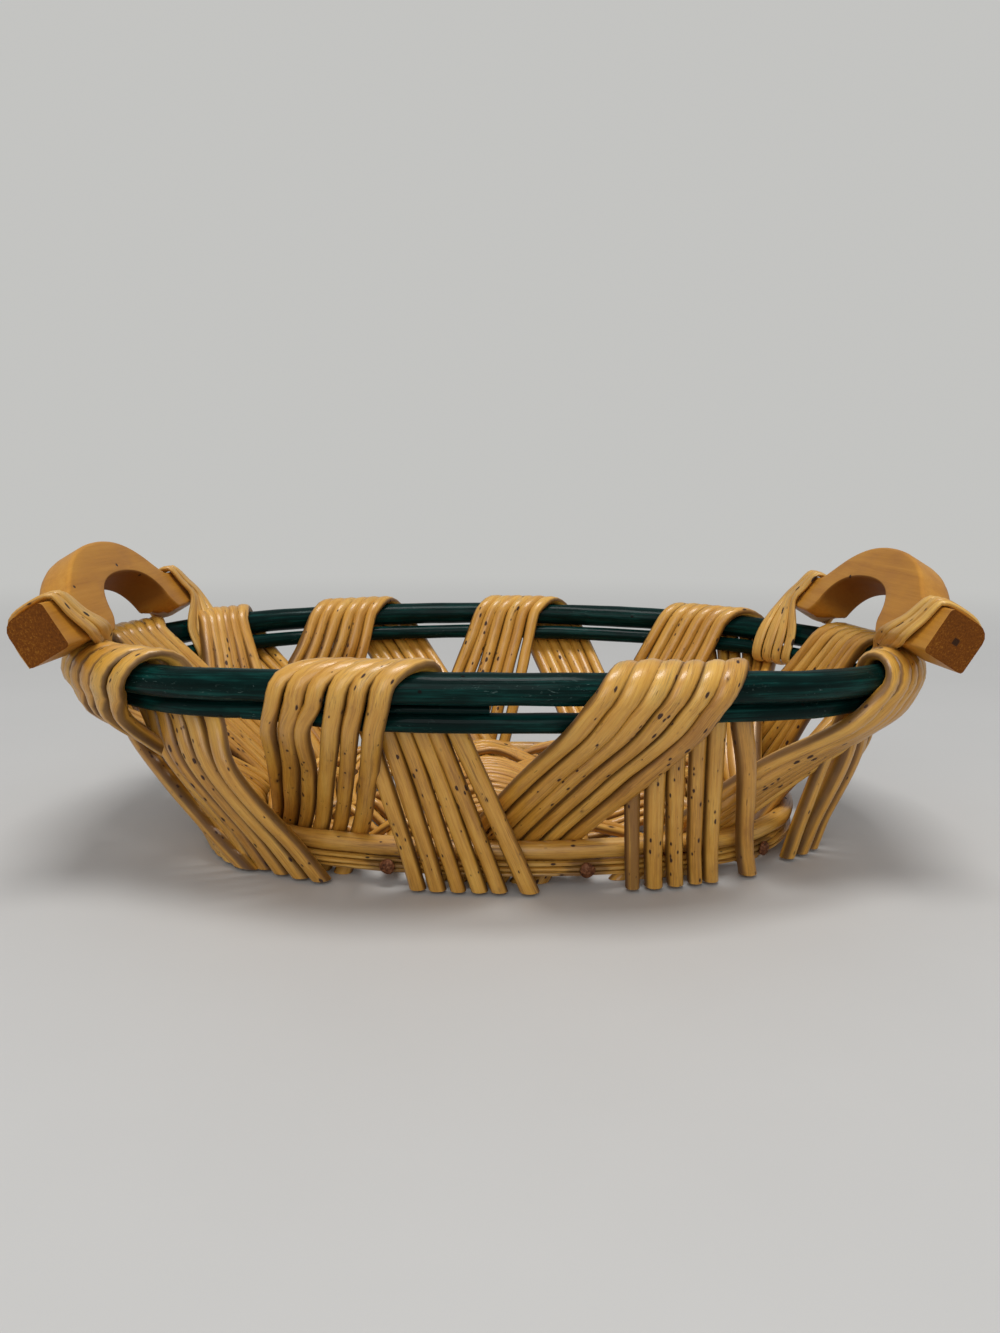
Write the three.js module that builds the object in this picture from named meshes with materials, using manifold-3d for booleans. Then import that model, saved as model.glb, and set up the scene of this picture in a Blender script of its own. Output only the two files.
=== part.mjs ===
import * as THREE from 'three';
import { mergeVertices } from 'three/addons/utils/BufferGeometryUtils.js';
import Module from 'manifold-3d';

const wasm = await Module();
wasm.setup();

// Sizes in millimetres, +Z up, length along X, floor at Z = 0.

// Fits
const clearance = 0.3; // gap between pieces that touch
const facetRoom = 0.5; // extra room for the flats of faceted rods

// How finely round shapes are faceted
const rimSteps = 60;
const baseSteps = 48;
const thickSides = 8;
const thinSides = 6;
const saddleSides = 16;
const nailSides = 10;
const crossStickSteps = 10;
const fanStickSteps = 4;
const weaverStep = 14; // length of a flat on a weaver
const handleCurveSteps = 8;
const searchSteps = 60;
const weldDistance = 1e-4;

// Rim: an oblong of two painted hoops, one under the other
const rimHalfLength = 180;
const rimHalfWidth = 118;
const rimEndInset = 12; // half width less the radius of the ends
const rimHeight = 88; // middle of the upper hoop above the floor, at mid side
const rimDip = 5; // how much lower the hoop lies at its ends
const rimUpperDiameter = 12;
const rimLowerDiameter = 7.6;

// Base hoops: a round rod over a split one
const baseHalfLength = 128;
const baseHalfWidth = 82;
const baseEndInset = 8;
const baseShift = 8; // the base sits a little off the middle of the rim, towards +X
const baseUpperDiameter = 8;
const baseLowerDiameter = 6.4;

// Side rods
const rodDiameter = 7;
const rodGap = 0.4; // between the middles of two rods, beyond a diameter
const rodPitch = rodDiameter + rodGap;
const rodsPerBundle = 6;
const rodsPerPiece = 3;
const rodGroove = 0.35; // depth left between two rods, as a share of the rod's radius
const hookThickness = 5; // rods flatten where they bend under the base
const hookReach = 1.5; // how far the hook runs past the middle of the base hoop
const hookCorner = 3.75; // from the rod's middle in to the bend of its hook
const rimShift = 22; // travel along the rim while a bundle passes over it
const bundleTwist = rodDiameter; // sideways tilt of a bundle at half height, at its edge rods
const bundleGap = 1.5; // least gap between the feet of two bundles
const wrapSteps = 5; // flats of a rod over the rim
const sharpestBend = 0.5; // cosine of half the sharpest bend a section is stretched for

// Where bundles meet the rim and the base, in turns from the middle of the front: over the rim, and at the
// base the leg from outside the rim, then the leg from inside it. A crossed bundle swaps sides on its way
// down.
const bundles = [
  { side: 'front_left_corner', rim: -0.162, outer: -0.2315, inner: -0.14, crossed: true },
  { side: 'front_left', rim: -0.061, outer: -0.128, inner: -0.027, crossed: true },
  { side: 'front_right', rim: 0.052, outer: 0.002, inner: 0.099, crossed: true },
  { side: 'front_right_corner', rim: 0.166, outer: 0.125, inner: 0.218, crossed: true },
  { side: 'right_end', rim: 0.254, outer: 0.3, inner: 0.205, crossed: false },
  { side: 'back_right_corner', rim: 0.356, outer: 0.29, inner: 0.401, crossed: true },
  { side: 'back_right', rim: 0.459, outer: 0.414, inner: 0.519, crossed: true },
  { side: 'back_left', rim: 0.566, outer: 0.536, inner: 0.622, crossed: true },
  { side: 'back_left_corner', rim: 0.666, outer: 0.635, inner: 0.718, crossed: true },
  { side: 'left_end', rim: 0.754, outer: 0.789, inner: 0.702, crossed: false },
];

// Woven base
const stickDiameter = 6.4;
const stickSpread = 0.305; // cross sticks from the middle one, as a share of half the base's length
const stickShift = -4; // middle stick, from the middle of the rim
const baseCrown = 14; // rise of the base in its middle
const fanSticks = 5;
const fanPitch = 34; // degrees
const weaverWidth = 18;
const weaverThickness = 3.6;
const weaverGap = 0.5;
const weaverBands = 3;
const stickOverlap = 6.5; // half the length of a weaver's run over or under a stick

// Nails
const nailHeadDiameter = 5;
const nailHeadHeight = 1.6;
const nailShankDiameter = 2;
const nailGrip = 6; // depth of the shank in the stick
const hoopNailTurns = [0.158, 0.67]; // where short nails hold the lower hoop

// Handles
const handleSpan = 190;
const handleHeight = 46;
const handleThickness = 16;
const handleFootHeight = 24;
const handleFootLength = 24;
const handleGripHeight = 19;
const handleGap = 100;
const handleLean = 31; // degrees from upright
const handleEase = 2; // rounded edge
const gapShoulder = 0.8; // squareness of the finger gap, up its sides and along its top
const gapCrown = 0.6;
const archShoulder = 0.75; // and of the arch over it
const archCrown = 0.7;
const handleInset = 14; // underside of the feet, in from the end of the rim
const handleRaise = 8; // and up from the middle of the upper hoop there

// Lashings
const lashingWidth = 8;
const lashingThickness = 2.2;
const lashings = [
  { name: 'right_front', between: ['front_right_corner', 'right_end'], end: -1, pass: 45, halfTurns: 0 },
  { name: 'right_back', between: ['right_end', 'back_right_corner'], end: 1, pass: 62, halfTurns: 0 },
  { name: 'left_back', between: ['back_left_corner', 'left_end'], end: -1, pass: 45, halfTurns: 1 },
  { name: 'left_front', between: ['left_end', 'front_left_corner'], end: 1, pass: 62, halfTurns: 1 },
];
const lashingInset = 12; // from the end of the foot to the middle of the lashing
const lashingLift = 1.6 * rodDiameter; // how far up the board it passes under the arch
const lashingBend = 45; // degrees a lashing turns between two of its flats

const willow = { color: 0xd8a85c, roughness: 0.45, metalness: 0 };
const paleWillow = { color: 0xe0b870, roughness: 0.5, metalness: 0 };
const greenPaint = { color: 0x0f3a34, roughness: 0.3, metalness: 0 };
const handleWood = { color: 0xc98a43, roughness: 0.45, metalness: 0 };
const rustySteel = { color: 0x6b3018, roughness: 0.7, metalness: 0.6 };

const up = new THREE.Vector3(0, 0, 1);
const lerp = THREE.MathUtils.lerp;
const radians = THREE.MathUtils.degToRad;

// A four-centre oval in plan. Stations run along it from the middle of the front, towards +X.
class Oval {
  constructor(halfLength, halfWidth, endInset, shift = 0) {
    this.shift = shift;
    this.endRadius = halfWidth - endInset;
    this.endCentre = halfLength - this.endRadius;
    this.sideRadius = (this.endCentre ** 2 + halfWidth ** 2 - this.endRadius ** 2) / (2 * endInset);
    this.sideCentre = this.sideRadius - halfWidth;
    this.blend = Math.atan2(this.endCentre, this.sideCentre);
    this.sideLength = this.sideRadius * this.blend;
    this.quarter = this.sideLength + this.endRadius * (Math.PI / 2 - this.blend);
    this.total = 4 * this.quarter;
  }

  // Plan point at a station, with its outward normal
  at(station, offset = 0, height = 0) {
    const half = 2 * this.quarter;
    const wrapped = station - this.total * Math.floor((station + half) / this.total);
    const reach = Math.abs(wrapped);
    const folded = Math.min(reach, half - reach);
    const onSide = folded <= this.sideLength;
    const angle = onSide
      ? folded / this.sideRadius
      : this.blend + (folded - this.sideLength) / this.endRadius;
    const radius = (onSide ? this.sideRadius : this.endRadius) + offset;
    const flipX = wrapped < 0 ? -1 : 1;
    const flipY = reach > this.quarter ? -1 : 1;
    const centre = onSide ? [0, this.sideCentre] : [this.endCentre, 0];
    const point = new THREE.Vector3(
      this.shift + flipX * (centre[0] + radius * Math.sin(angle)),
      flipY * (centre[1] - radius * Math.cos(angle)),
      height,
    );
    const normal = new THREE.Vector3(flipX * Math.sin(angle), -flipY * Math.cos(angle), 0);
    return { point, normal };
  }

  onEnd(x, y) {
    return Math.atan2(Math.abs(x - this.shift) - this.endCentre, Math.abs(y)) >= this.blend;
  }

  // Distance of a plan point outside the oval
  offsetOf(x, y) {
    return this.onEnd(x, y)
      ? Math.hypot(Math.abs(x - this.shift) - this.endCentre, y) - this.endRadius
      : Math.hypot(x - this.shift, Math.abs(y) + this.sideCentre) - this.sideRadius;
  }

  stationOf(x, y) {
    const across = Math.abs(x - this.shift);
    const folded = this.onEnd(x, y)
      ? this.sideLength + this.endRadius * (Math.atan2(across - this.endCentre, Math.abs(y)) - this.blend)
      : this.sideRadius * Math.atan2(across, Math.abs(y) + this.sideCentre);
    const reach = y > 0 ? 2 * this.quarter - folded : folded;
    return x < this.shift ? -reach : reach;
  }

  // How far a plan line runs before it lies at an offset from the oval
  runTo(origin, direction, offset) {
    let near = 0;
    let far = this.total;
    for (let i = 0; i < searchSteps; i += 1) {
      const middle = (near + far) / 2;
      const probe = origin.clone().addScaledVector(direction, middle);
      if (this.offsetOf(probe.x, probe.y) < offset) near = middle;
      else far = middle;
    }
    return near;
  }
}

const rimOval = new Oval(rimHalfLength, rimHalfWidth, rimEndInset);
const baseOval = new Oval(baseHalfLength, baseHalfWidth, baseEndInset, baseShift);

const rodRadius = rodDiameter / 2;
const baseLowerZ = hookThickness + clearance + baseLowerDiameter / 2;
const baseUpperZ = baseLowerZ + baseLowerDiameter / 2 + clearance + baseUpperDiameter / 2;
const rimDrop = rimUpperDiameter / 2 + clearance + rimLowerDiameter / 2;
const lowerShare = rimDrop / (rimHeight - baseUpperZ);
const rimLowerOval = new Oval(
  lerp(rimHalfLength, baseHalfLength, lowerShare),
  lerp(rimHalfWidth, baseHalfWidth, lowerShare),
  lerp(rimEndInset, baseEndInset, lowerShare),
  lerp(0, baseShift, lowerShare),
);
const rimZ = (x) => rimHeight - rimDip * (x / rimHalfLength) ** 2;

// Joins a row of closed sections into one solid. Each section turns round its path the same way, and its
// first and middle points are its two side ends.
function loft(sections, closed = false) {
  const count = sections[0].length;
  const points = sections.flat();
  const faces = [];
  const spans = closed ? sections.length : sections.length - 1;
  for (let k = 0; k < spans; k += 1) {
    const here = k * count;
    const next = ((k + 1) % sections.length) * count;
    for (let i = 0; i < count; i += 1) {
      const j = (i + 1) % count;
      faces.push(here + i, here + j, next + j, here + i, next + j, next + i);
    }
  }
  if (!closed) {
    const last = (sections.length - 1) * count;
    for (let i = 0; i < count / 2; i += 1) {
      const corners = [i, i + 1, count - i - 1, (count - i) % count];
      const ring = corners.filter((corner, n) => corners.indexOf(corner) === n);
      for (let n = 1; n + 1 < ring.length; n += 1) {
        faces.push(ring[0], ring[n + 1], ring[n]);
        faces.push(last + ring[0], last + ring[n], last + ring[n + 1]);
      }
    }
  }
  const geometry = new THREE.BufferGeometry();
  geometry.setAttribute('position', new THREE.Float32BufferAttribute(points.flatMap((p) => p.toArray()), 3));
  geometry.setIndex(faces);
  return geometry;
}

// Direction of travel at each point of a path, and how much a bend there stretches a section
function travel(path, closed = false) {
  const count = path.length;
  return path.map((point, k) => {
    const before = path[closed ? (k + count - 1) % count : Math.max(k - 1, 0)];
    const after = path[closed ? (k + 1) % count : Math.min(k + 1, count - 1)];
    const arrive = point.clone().sub(before).normalize();
    const leave = after.clone().sub(point).normalize();
    const along = arrive.clone().add(leave).normalize();
    const straight = k === 0 || k === count - 1;
    const stretch = straight && !closed ? 1 : 1 / Math.max(arrive.dot(along), sharpestBend);
    return { along, stretch };
  });
}

function hoop(oval, diameter, heightAt, steps, sides) {
  const sections = [];
  for (let k = 0; k < steps; k += 1) {
    const { point, normal } = oval.at((k * oval.total) / steps);
    point.z = heightAt(point.x);
    const section = [];
    for (let i = 0; i < sides; i += 1) {
      const turn = (-2 * Math.PI * i) / sides;
      section.push(point.clone()
        .addScaledVector(normal, (diameter / 2) * Math.cos(turn))
        .addScaledVector(up, (diameter / 2) * Math.sin(turn)));
    }
    sections.push(section);
  }
  return loft(sections, true);
}

function roundRod(path, diameter, sides) {
  const steps = travel(path);
  return loft(path.map((point, k) => {
    const { along } = steps[k];
    const lift = up.clone().addScaledVector(along, -up.dot(along)).normalize();
    const aside = along.clone().cross(lift);
    return Array.from({ length: sides }, (_, i) => {
      const turn = (2 * Math.PI * i) / sides;
      return point.clone()
        .addScaledVector(lift, (diameter / 2) * Math.cos(turn))
        .addScaledVector(aside, (diameter / 2) * Math.sin(turn));
    });
  }));
}

function solidOf(geometry) {
  const bare = geometry.clone();
  Object.keys(bare.attributes).filter((name) => name !== 'position').forEach((name) => {
    bare.deleteAttribute(name);
  });
  const welded = mergeVertices(bare, weldDistance);
  return new wasm.Manifold(new wasm.Mesh({
    numProp: 3,
    vertProperties: Float32Array.from(welded.attributes.position.array),
    triVerts: Uint32Array.from(welded.index.array),
  }));
}

function geometryOf(solid) {
  const { vertProperties, triVerts, numProp } = solid.getMesh();
  const points = [];
  for (let i = 0; i < vertProperties.length; i += numProp) {
    points.push(vertProperties[i], vertProperties[i + 1], vertProperties[i + 2]);
  }
  const geometry = new THREE.BufferGeometry();
  geometry.setAttribute('position', new THREE.Float32BufferAttribute(points, 3));
  geometry.setIndex(Array.from(triVerts));
  return geometry;
}

function cut(geometry, tools) {
  return geometryOf(tools.reduce((solid, tool) => solid.subtract(solidOf(tool)), solidOf(geometry)));
}

// Everything under the floor, for trimming feet flat
const underFloor = new THREE.BoxGeometry(4 * rimHalfLength, 4 * rimHalfWidth, rimHeight)
  .translate(0, 0, -rimHeight / 2);

const basket = new THREE.Group();
const turned = new THREE.Group();
turned.rotation.z = Math.PI;
basket.add(turned);

function addPiece(group, name, geometry, finish) {
  const mesh = new THREE.Mesh(geometry, new THREE.MeshStandardMaterial(finish));
  mesh.name = name;
  group.add(mesh);
  return mesh;
}

addPiece(basket, 'rim_hoop_upper', hoop(rimOval, rimUpperDiameter, rimZ, rimSteps, thickSides),
  greenPaint);
addPiece(basket, 'rim_hoop_lower',
  hoop(rimLowerOval, rimLowerDiameter, (x) => rimZ(x) - rimDrop, rimSteps, thinSides), greenPaint);
addPiece(basket, 'base_hoop_upper', hoop(baseOval, baseUpperDiameter, () => baseUpperZ, baseSteps, thinSides),
  paleWillow);

// Side rods: up inside the base hoop, over the rim from outside, down and under the base hoop
const rodRoom = (diameter) => diameter / 2 + clearance + rodRadius + facetRoom;
const rimReach = rodRoom(rimUpperDiameter);
const baseReach = rodRoom(baseUpperDiameter);
const baseLegs = bundles.flatMap(({ outer, inner, crossed }) => [
  { turn: outer, side: crossed ? -1 : 1 },
  { turn: inner, side: crossed ? 1 : -1 },
]);
const legSpacing = [-1, 1].flatMap((side) => {
  const turns = baseLegs.filter((leg) => leg.side === side).map((leg) => leg.turn).sort((a, b) => a - b);
  return turns.map((turn, i) => (turns[i + 1] ?? turns[0] + 1) - turn);
});
const footPitch = Math.min(
  rodPitch,
  (Math.min(...legSpacing) * baseOval.total - bundleGap) / rodsPerBundle,
);

// Half of a rod, from the floor to its bend beside the base hoop
function legPath(turn, baseSide, rimSide, order) {
  const station = turn * baseOval.total + order * footPitch;
  const { normal } = baseOval.at(station);
  const foot = baseOval.at(station, baseSide * baseReach, baseUpperZ).point;
  const top = rimOval.at(turn * rimOval.total, rimSide * rimReach).point;
  const slope = Math.atan2(top.sub(foot).dot(normal), rimHeight - baseUpperZ);
  const hookZ = (hookThickness - clearance) / 2;
  const hook = [
    baseOval.at(station, -hookReach, hookZ).point,
    baseOval.at(station, baseReach - hookCorner, hookZ).point,
    baseOval.at(station, baseReach, baseLowerZ - clearance - hookThickness / 4).point,
  ];
  const start = baseSide > 0 ? hook : [foot.clone().setZ(-clearance)];
  return { start, foot, normal, slope, baseSide, rimSide };
}

// The rest of that half: its bend, its middle and where it clears the lower rim hoop
function climb(leg, high, twist) {
  const { foot, normal, slope, baseSide, rimSide } = leg;
  const middle = foot.clone().lerp(high, 0.5).addScaledVector(normal, twist);
  const lean = Math.atan2(middle.clone().sub(foot).dot(normal), middle.z - foot.z);
  const bend = foot.clone().setZ(baseUpperZ - baseSide * baseReach * Math.tan(lean / 2));
  const level = rimZ(high.x) - rimDrop - rimLowerDiameter / 2;
  const pass = high.clone().lerp(middle, (high.z - level) / (high.z - middle.z));
  const least = (rodRoom(rimLowerDiameter) + clearance) / Math.cos(slope);
  const offset = rimSide * rimLowerOval.offsetOf(pass.x, pass.y);
  const outward = rimLowerOval.at(rimLowerOval.stationOf(pass.x, pass.y)).normal;
  pass.addScaledVector(outward, rimSide * Math.max(0, least - offset));
  return [...leg.start, bend, middle, pass];
}

function rodPath(bundle, index) {
  const middle = (rodsPerBundle - 1) / 2;
  const order = index - middle;
  const baseSide = bundle.crossed ? -1 : 1;
  const outer = legPath(bundle.outer, baseSide, 1, order);
  const inner = legPath(bundle.inner, -baseSide, -1, order);
  const rimStart = bundle.rim * rimOval.total + order * rodPitch;
  const sweep = Math.PI - inner.slope + outer.slope;
  const wrapRadius = rimReach / Math.cos(sweep / wrapSteps / 2);
  const wrap = [];
  for (let k = 0; k <= wrapSteps; k += 1) {
    const turn = (k * sweep) / wrapSteps - outer.slope;
    const { point } = rimOval.at(rimStart + (rimShift * k) / wrapSteps, wrapRadius * Math.cos(turn));
    point.z = rimZ(point.x) + wrapRadius * Math.sin(turn);
    wrap.push(point);
  }
  const twist = (bundleTwist * order) / middle;
  const points = [
    ...climb(outer, wrap[0], twist),
    ...wrap,
    ...climb(inner, wrap[wrapSteps], twist).reverse(),
  ];
  const flattened = (point) => point.z < hookThickness / 2 && point.z > 0;
  return { points, radii: points.map((point) => (flattened(point) ? hookThickness / 2 : rodRadius)) };
}

// Rods that lie side by side, as one grooved band
function rodBand(bundle, first) {
  const rods = Array.from({ length: rodsPerBundle }, (_, i) => rodPath(bundle, i));
  const steps = rods.map((rod) => travel(rod.points));
  const last = first + rodsPerPiece - 1;
  const aside = (i, k) => {
    const low = Math.max(i - 1, 0);
    const high = Math.min(i + 1, rodsPerBundle - 1);
    return rods[high].points[k].clone().sub(rods[low].points[k]).divideScalar(high - low);
  };
  const sections = rods[0].points.map((_, k) => {
    const outer = [];
    const inner = [];
    for (let i = first; i <= last; i += 1) {
      const { along, stretch } = steps[i][k];
      const face = aside(i, k).normalize().cross(along).normalize();
      const depth = rods[i].radii[k] * stretch;
      outer.push(rods[i].points[k].clone().addScaledVector(face, depth));
      inner.push(rods[i].points[k].clone().addScaledVector(face, -depth));
      if (i < last) {
        const groove = rods[i].points[k].clone().lerp(rods[i + 1].points[k], 0.5);
        outer.push(groove.clone().addScaledVector(face, depth * rodGroove));
        inner.push(groove.clone().addScaledVector(face, -depth * rodGroove));
      }
    }
    const edge = (i, sign) => {
      const step = aside(i, k);
      const half = (step.length() - clearance) / 2;
      return rods[i].points[k].clone().addScaledVector(step.normalize(), sign * half);
    };
    return [edge(first, -1), ...outer, edge(last, 1), ...inner.reverse()];
  });
  return cut(loft(sections), [underFloor]);
}

bundles.forEach((bundle) => {
  for (let first = 0; first < rodsPerBundle; first += rodsPerPiece) {
    const letter = 'abcdef'[first / rodsPerPiece];
    addPiece(basket, `side_rods_${bundle.side}_${letter}`, rodBand(bundle, first), willow);
  }
});

// Woven base: sticks crowned in the middle, with bands of weavers over and under them
const crown = (x, y) => {
  const spread = ((x - baseShift) / baseHalfLength) ** 2 + (y / baseHalfWidth) ** 2;
  return baseCrown * Math.max(0, 1 - spread) ** 2;
};
const stickPitch = stickSpread * baseHalfLength;
const stickEnd = -(baseLowerDiameter / 2 + clearance + facetRoom);
const stickStop = -(baseReach + rodRadius + clearance + facetRoom);
const bandOvals = Array.from({ length: weaverBands }, (_, band) => {
  const inset = stickStop - weaverWidth / 2 - band * (weaverWidth + weaverGap);
  return new Oval(baseHalfLength + inset, baseHalfWidth + inset, baseEndInset, baseShift);
});
const lastBand = bandOvals[weaverBands - 1];
const sticks = [];
for (let i = -1; i <= 1; i += 1) {
  sticks.push({
    name: `base_stick_cross_${i + 2}`,
    origin: new THREE.Vector3(stickShift + i * stickPitch, 0, 0),
    direction: new THREE.Vector3(0, -1, 0),
    nailed: i !== 0,
    through: true,
  });
}
[1, -1].forEach((end) => {
  for (let i = 0; i < fanSticks; i += 1) {
    const angle = radians((i - (fanSticks - 1) / 2) * fanPitch);
    sticks.push({
      name: `base_stick_${end > 0 ? 'right' : 'left'}_${i + 1}`,
      origin: new THREE.Vector3(baseShift + end * lastBand.endCentre, 0, 0),
      direction: new THREE.Vector3(end * Math.cos(angle), end * Math.sin(angle), 0),
      nailed: false,
      through: false,
    });
  }
});

// A nail, head outward along +Y, origin at the underside of its head
function nailGeometry(length) {
  const profile = [
    [0, -length], [nailShankDiameter / 2, -length], [nailShankDiameter / 2, 0],
    [nailHeadDiameter / 2, 0], [nailHeadDiameter / 2, nailHeadHeight / 2],
    [nailHeadDiameter / 4, nailHeadHeight], [0, nailHeadHeight],
  ];
  const points = profile.map(([radius, height]) => new THREE.Vector2(radius, height));
  return new THREE.LatheGeometry(points, nailSides);
}

const nails = [];
function addNail(seat, axis, length) {
  const turn = new THREE.Quaternion().setFromUnitVectors(THREE.Object3D.DEFAULT_UP, axis);
  const radius = nailShankDiameter / 2 + clearance;
  const bore = new THREE.CylinderGeometry(radius, radius, 2 * (length + clearance), thickSides)
    .applyQuaternion(turn)
    .translate(seat.x, seat.y, seat.z);
  nails.push({ seat, turn, length, bore });
  return bore;
}

const nailSeat = baseLowerDiameter / 2 + clearance;
sticks.forEach((stick) => {
  const front = baseOval.runTo(stick.origin, stick.direction, stick.nailed ? stickEnd : stickStop);
  const start = stick.through
    ? -front
    : lastBand.runTo(stick.origin, stick.direction, (weaverWidth + stickDiameter) / 2 + weaverGap);
  const steps = stick.through ? crossStickSteps : fanStickSteps;
  const path = [];
  for (let k = 0; k <= steps; k += 1) {
    const point = stick.origin.clone().addScaledVector(stick.direction, lerp(start, front, k / steps));
    point.z = baseLowerZ + crown(point.x, point.y);
    path.push(point);
  }
  const bores = [];
  if (stick.nailed) {
    [1, -1].forEach((sign) => {
      const axis = stick.direction.clone().multiplyScalar(sign);
      const run = baseOval.runTo(stick.origin, axis, nailSeat);
      const seat = stick.origin.clone().addScaledVector(axis, run).setZ(baseLowerZ);
      bores.push(addNail(seat, axis, 2 * nailSeat + nailGrip));
    });
  }
  addPiece(basket, stick.name, cut(roundRod(path, stickDiameter, thinSides), bores), paleWillow);
});
hoopNailTurns.forEach((turn) => {
  const { point, normal } = baseOval.at(turn * baseOval.total, nailSeat, baseLowerZ);
  addNail(point, normal, baseLowerDiameter);
});
addPiece(basket, 'base_hoop_lower', cut(
  hoop(baseOval, baseLowerDiameter, () => baseLowerZ, baseSteps, thinSides),
  nails.map((nail) => nail.bore),
), paleWillow);
nails.forEach(({ seat, turn, length }, i) => {
  const nail = addPiece(basket, `base_nail_${i + 1}`, nailGeometry(length), rustySteel);
  nail.position.copy(seat);
  nail.quaternion.copy(turn);
});

// Height of a weaver over or under the sticks it crosses
const weaverLift = stickDiameter / 2 + clearance + facetRoom + weaverThickness / 2;

function weaverSection(centre, aside, width, lift) {
  const corner = (sideways, upward) => {
    const point = centre.clone().addScaledVector(aside, (sideways * width) / 2);
    point.z = baseLowerZ + crown(point.x, point.y) + lift + (upward * weaverThickness) / 2;
    return point;
  };
  return [corner(1, 1), corner(1, -1), corner(-1, -1), corner(-1, 1)];
}

bandOvals.forEach((oval, band) => {
  const crossings = [];
  sticks.forEach((stick) => {
    const run = oval.runTo(stick.origin, stick.direction, 0);
    if (!stick.through && oval === lastBand) return;
    (stick.through ? [run, -run] : [run]).forEach((reach) => {
      const point = stick.origin.clone().addScaledVector(stick.direction, reach);
      crossings.push(oval.stationOf(point.x, point.y));
    });
  });
  crossings.sort((a, b) => a - b);
  const sections = [];
  crossings.forEach((station, i) => {
    const lift = (i + band) % 2 ? weaverLift : -weaverLift;
    const next = crossings[i + 1] ?? crossings[0] + oval.total;
    const gap = next - station - 2 * stickOverlap;
    const pieces = Math.max(1, Math.round(gap / weaverStep));
    const stops = [[station - stickOverlap, lift]];
    for (let k = 0; k < pieces; k += 1) {
      stops.push([station + stickOverlap + (gap * k) / pieces, lerp(lift, -lift, k / pieces)]);
    }
    stops.forEach(([at, height]) => {
      const { point, normal } = oval.at(at);
      sections.push(weaverSection(point, normal, weaverWidth, height));
    });
  });
  addPiece(basket, `base_weavers_${band + 1}`, loft(sections, true), willow);
});

const centreWidth = 2 * (lastBand.endRadius - weaverGap) - weaverWidth;
const centreLength = stickPitch + stickDiameter / 2 + clearance;
const centreStops = [
  [-centreLength, -1], [-stickPitch + stickOverlap, -1], [-stickOverlap, 1],
  [stickOverlap, 1], [stickPitch - stickOverlap, -1], [centreLength, -1],
];
addPiece(basket, 'base_weavers_centre', loft(centreStops.map(([x, sign]) => weaverSection(
  new THREE.Vector3(stickShift + x, 0, 0), new THREE.Vector3(0, -1, 0), centreWidth, sign * weaverLift,
))), willow);

// Handles: boards that lean outward and rest on the rods at the corners of the rim
const leanOut = new THREE.Vector3(Math.sin(radians(handleLean)), 0, Math.cos(radians(handleLean)));
const boardOut = new THREE.Vector3(Math.cos(radians(handleLean)), 0, -Math.sin(radians(handleLean)));
const along = new THREE.Vector3(0, 1, 0);
const boardFoot = new THREE.Vector3(rimHalfLength - handleInset, 0, rimZ(rimHalfLength) + handleRaise);

const outline = new THREE.Shape();
const spanHalf = handleSpan / 2;
const gapHalf = handleGap / 2;
const archFoot = spanHalf - handleFootLength;
const gripUnder = handleHeight - handleGripHeight;
outline.moveTo(-spanHalf, 0);
outline.lineTo(-gapHalf, 0);
const gapRise = gripUnder * gapShoulder;
const gapFlat = gapHalf * gapCrown;
outline.bezierCurveTo(-gapHalf, gapRise, -gapFlat, gripUnder, 0, gripUnder);
outline.bezierCurveTo(gapFlat, gripUnder, gapHalf, gapRise, gapHalf, 0);
outline.lineTo(spanHalf, 0);
outline.lineTo(spanHalf, handleFootHeight);
outline.lineTo(archFoot, handleFootHeight);
const archIn = archFoot * archShoulder;
const archFlat = archFoot * archCrown;
outline.bezierCurveTo(archIn, handleFootHeight, archFlat, handleHeight, 0, handleHeight);
outline.bezierCurveTo(-archFlat, handleHeight, -archIn, handleFootHeight, -archFoot, handleFootHeight);
outline.lineTo(-spanHalf, handleFootHeight);
outline.closePath();
const handleGeometry = new THREE.ExtrudeGeometry(outline, {
  depth: handleThickness - 2 * handleEase,
  curveSegments: handleCurveSteps,
  bevelEnabled: true,
  bevelThickness: handleEase,
  bevelSize: handleEase,
  bevelOffset: -handleEase,
  bevelSegments: 1,
});
handleGeometry.translate(0, 0, -handleThickness / 2 + handleEase);
handleGeometry.applyMatrix4(new THREE.Matrix4().makeBasis(along, leanOut, boardOut).setPosition(boardFoot));
const saddleRadius = (rimReach + rodRadius) / Math.cos(Math.PI / wrapSteps / 2) + clearance + facetRoom;
const saddle = hoop(rimOval, (2 * saddleRadius) / Math.cos(Math.PI / saddleSides), rimZ, rimSteps,
  saddleSides);
const handleBoard = cut(handleGeometry, [saddle]);
addPiece(basket, 'handle_right', handleBoard, handleWood);
addPiece(turned, 'handle_left', handleBoard, handleWood);

// Lashings: strips hooked round both rim hoops, then up and over the foot of the handle
const lashingHalf = lashingThickness / 2;
const bendRoom = 1 / Math.cos(radians(lashingBend / 2));
const lowerReach = (rimLowerDiameter / 2 + clearance + facetRoom + lashingHalf) * bendRoom;
const upperReach = (rimUpperDiameter / 2 + clearance + facetRoom + lashingHalf) * bendRoom;
const boardReach = handleThickness / 2 + clearance + facetRoom + lashingHalf;
const topReach = handleFootHeight + clearance + facetRoom + lashingHalf;

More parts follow.
